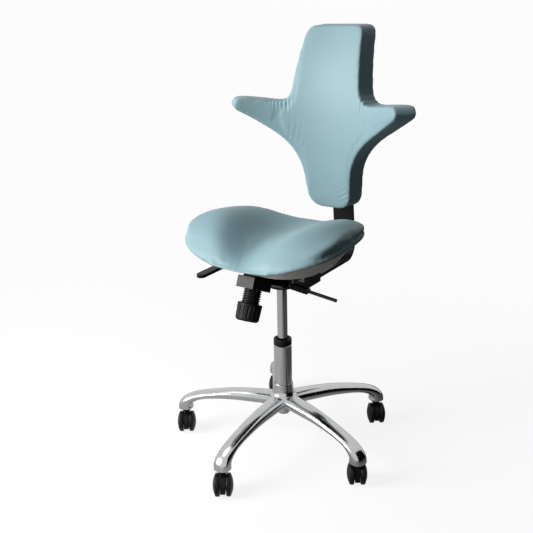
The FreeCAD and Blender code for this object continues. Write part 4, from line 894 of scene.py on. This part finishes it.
# %% Felt card
def make_felt():
    material, tree, output, place = start_material("black_felt_card")
    nap = add(tree, "ShaderNodeTexNoise", {"Vector": place, "Scale": per_mm(4.0), "Detail": 3.0})
    tint = add(tree, "ShaderNodeMix", {
        "Factor": nap.outputs["Fac"], "A": linear("#0B0B0B"), "B": linear("#161616")},
        data_type="RGBA")
    felt = add(tree, "ShaderNodeBsdfPrincipled", {
        "Base Color": tint.outputs["Result"], "Roughness": 1.0, "Specular IOR Level": 0.0})
    tree.links.new(felt.outputs["BSDF"], output.inputs["Surface"])
    return material


card = make_plane("card_right", Vector((1.30, 0.55, 0.80)), Vector((0.25, 1.2, 0)),
                  Vector((0, 0, 0.85)), make_felt())
card.visible_camera = False
print("stood a card out of the picture, right of the stool")

# %% [markdown]
# ## The room
# The room gives only a faint even light. The camera, mirrors and glass see it as white paper.

# %% Room
room = bpy.data.worlds.new("studio_room")
room.use_nodes = True
room_tree = room.node_tree
room_tree.nodes.clear()
room_rays = add(room_tree, "ShaderNodeLightPath")
direct = add(room_tree, "ShaderNodeMath", {
    0: room_rays.outputs["Is Camera Ray"], 1: room_rays.outputs["Is Glossy Ray"]},
    operation="MAXIMUM")
seen = add(room_tree, "ShaderNodeMath", {
    0: direct.outputs["Value"], 1: room_rays.outputs["Is Transmission Ray"]}, operation="MAXIMUM")
dim = add(room_tree, "ShaderNodeBackground", {"Color": linear("#F4F6F8"), "Strength": 0.07})
white = add(room_tree, "ShaderNodeBackground", {"Color": linear("#FCFCFC"), "Strength": 1.0})
sky = add(room_tree, "ShaderNodeMixShader", {
    0: seen.outputs["Value"], 1: dim.outputs["Background"], 2: white.outputs["Background"]})
add(room_tree, "ShaderNodeOutputWorld", {"Surface": sky.outputs["Shader"]})
scene.world = room
print("made", room.name)

# %% [markdown]
# ## The lamps
# One big soft lamp stands in front, to the left and not much higher than the back, so that the
# fronts are bright and the sides that face right are dark. A weak one overhead opens the shadows.

# %% Lamps
def hang_lamp(name, place, aim, width, watts):
    lamp = bpy.data.lights.new(name, "AREA")
    lamp.shape = "DISK"
    lamp.size = width
    lamp.energy = watts
    hung = bpy.data.objects.new(name, lamp)
    hung.location = place
    hung.rotation_euler = (Vector(aim) - Vector(place)).to_track_quat("-Z", "Y").to_euler()
    scene.collection.objects.link(hung)
    print("%s: %d W, %.1f m across" % (name, watts, width))


hang_lamp("key_lamp", (-1.75, -2.2, 1.6), (0, 0, 0.75), 1.7, 114)
hang_lamp("top_lamp", (-0.9, -0.5, 2.8), (0, 0, 0.6), 1.4, 7)

# %% [markdown]
# ## Check the size
# The dressed stool must be the size of the frame, so its box's growth beyond the frame's box at
# the high corner is printed.

# %% Size
dressed_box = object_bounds()
growth = [round(1000 * (dressed_box[1][i] - cad_box[1][i]), 1) for i in range(3)]
print("grown by", growth, "mm at the high corner")
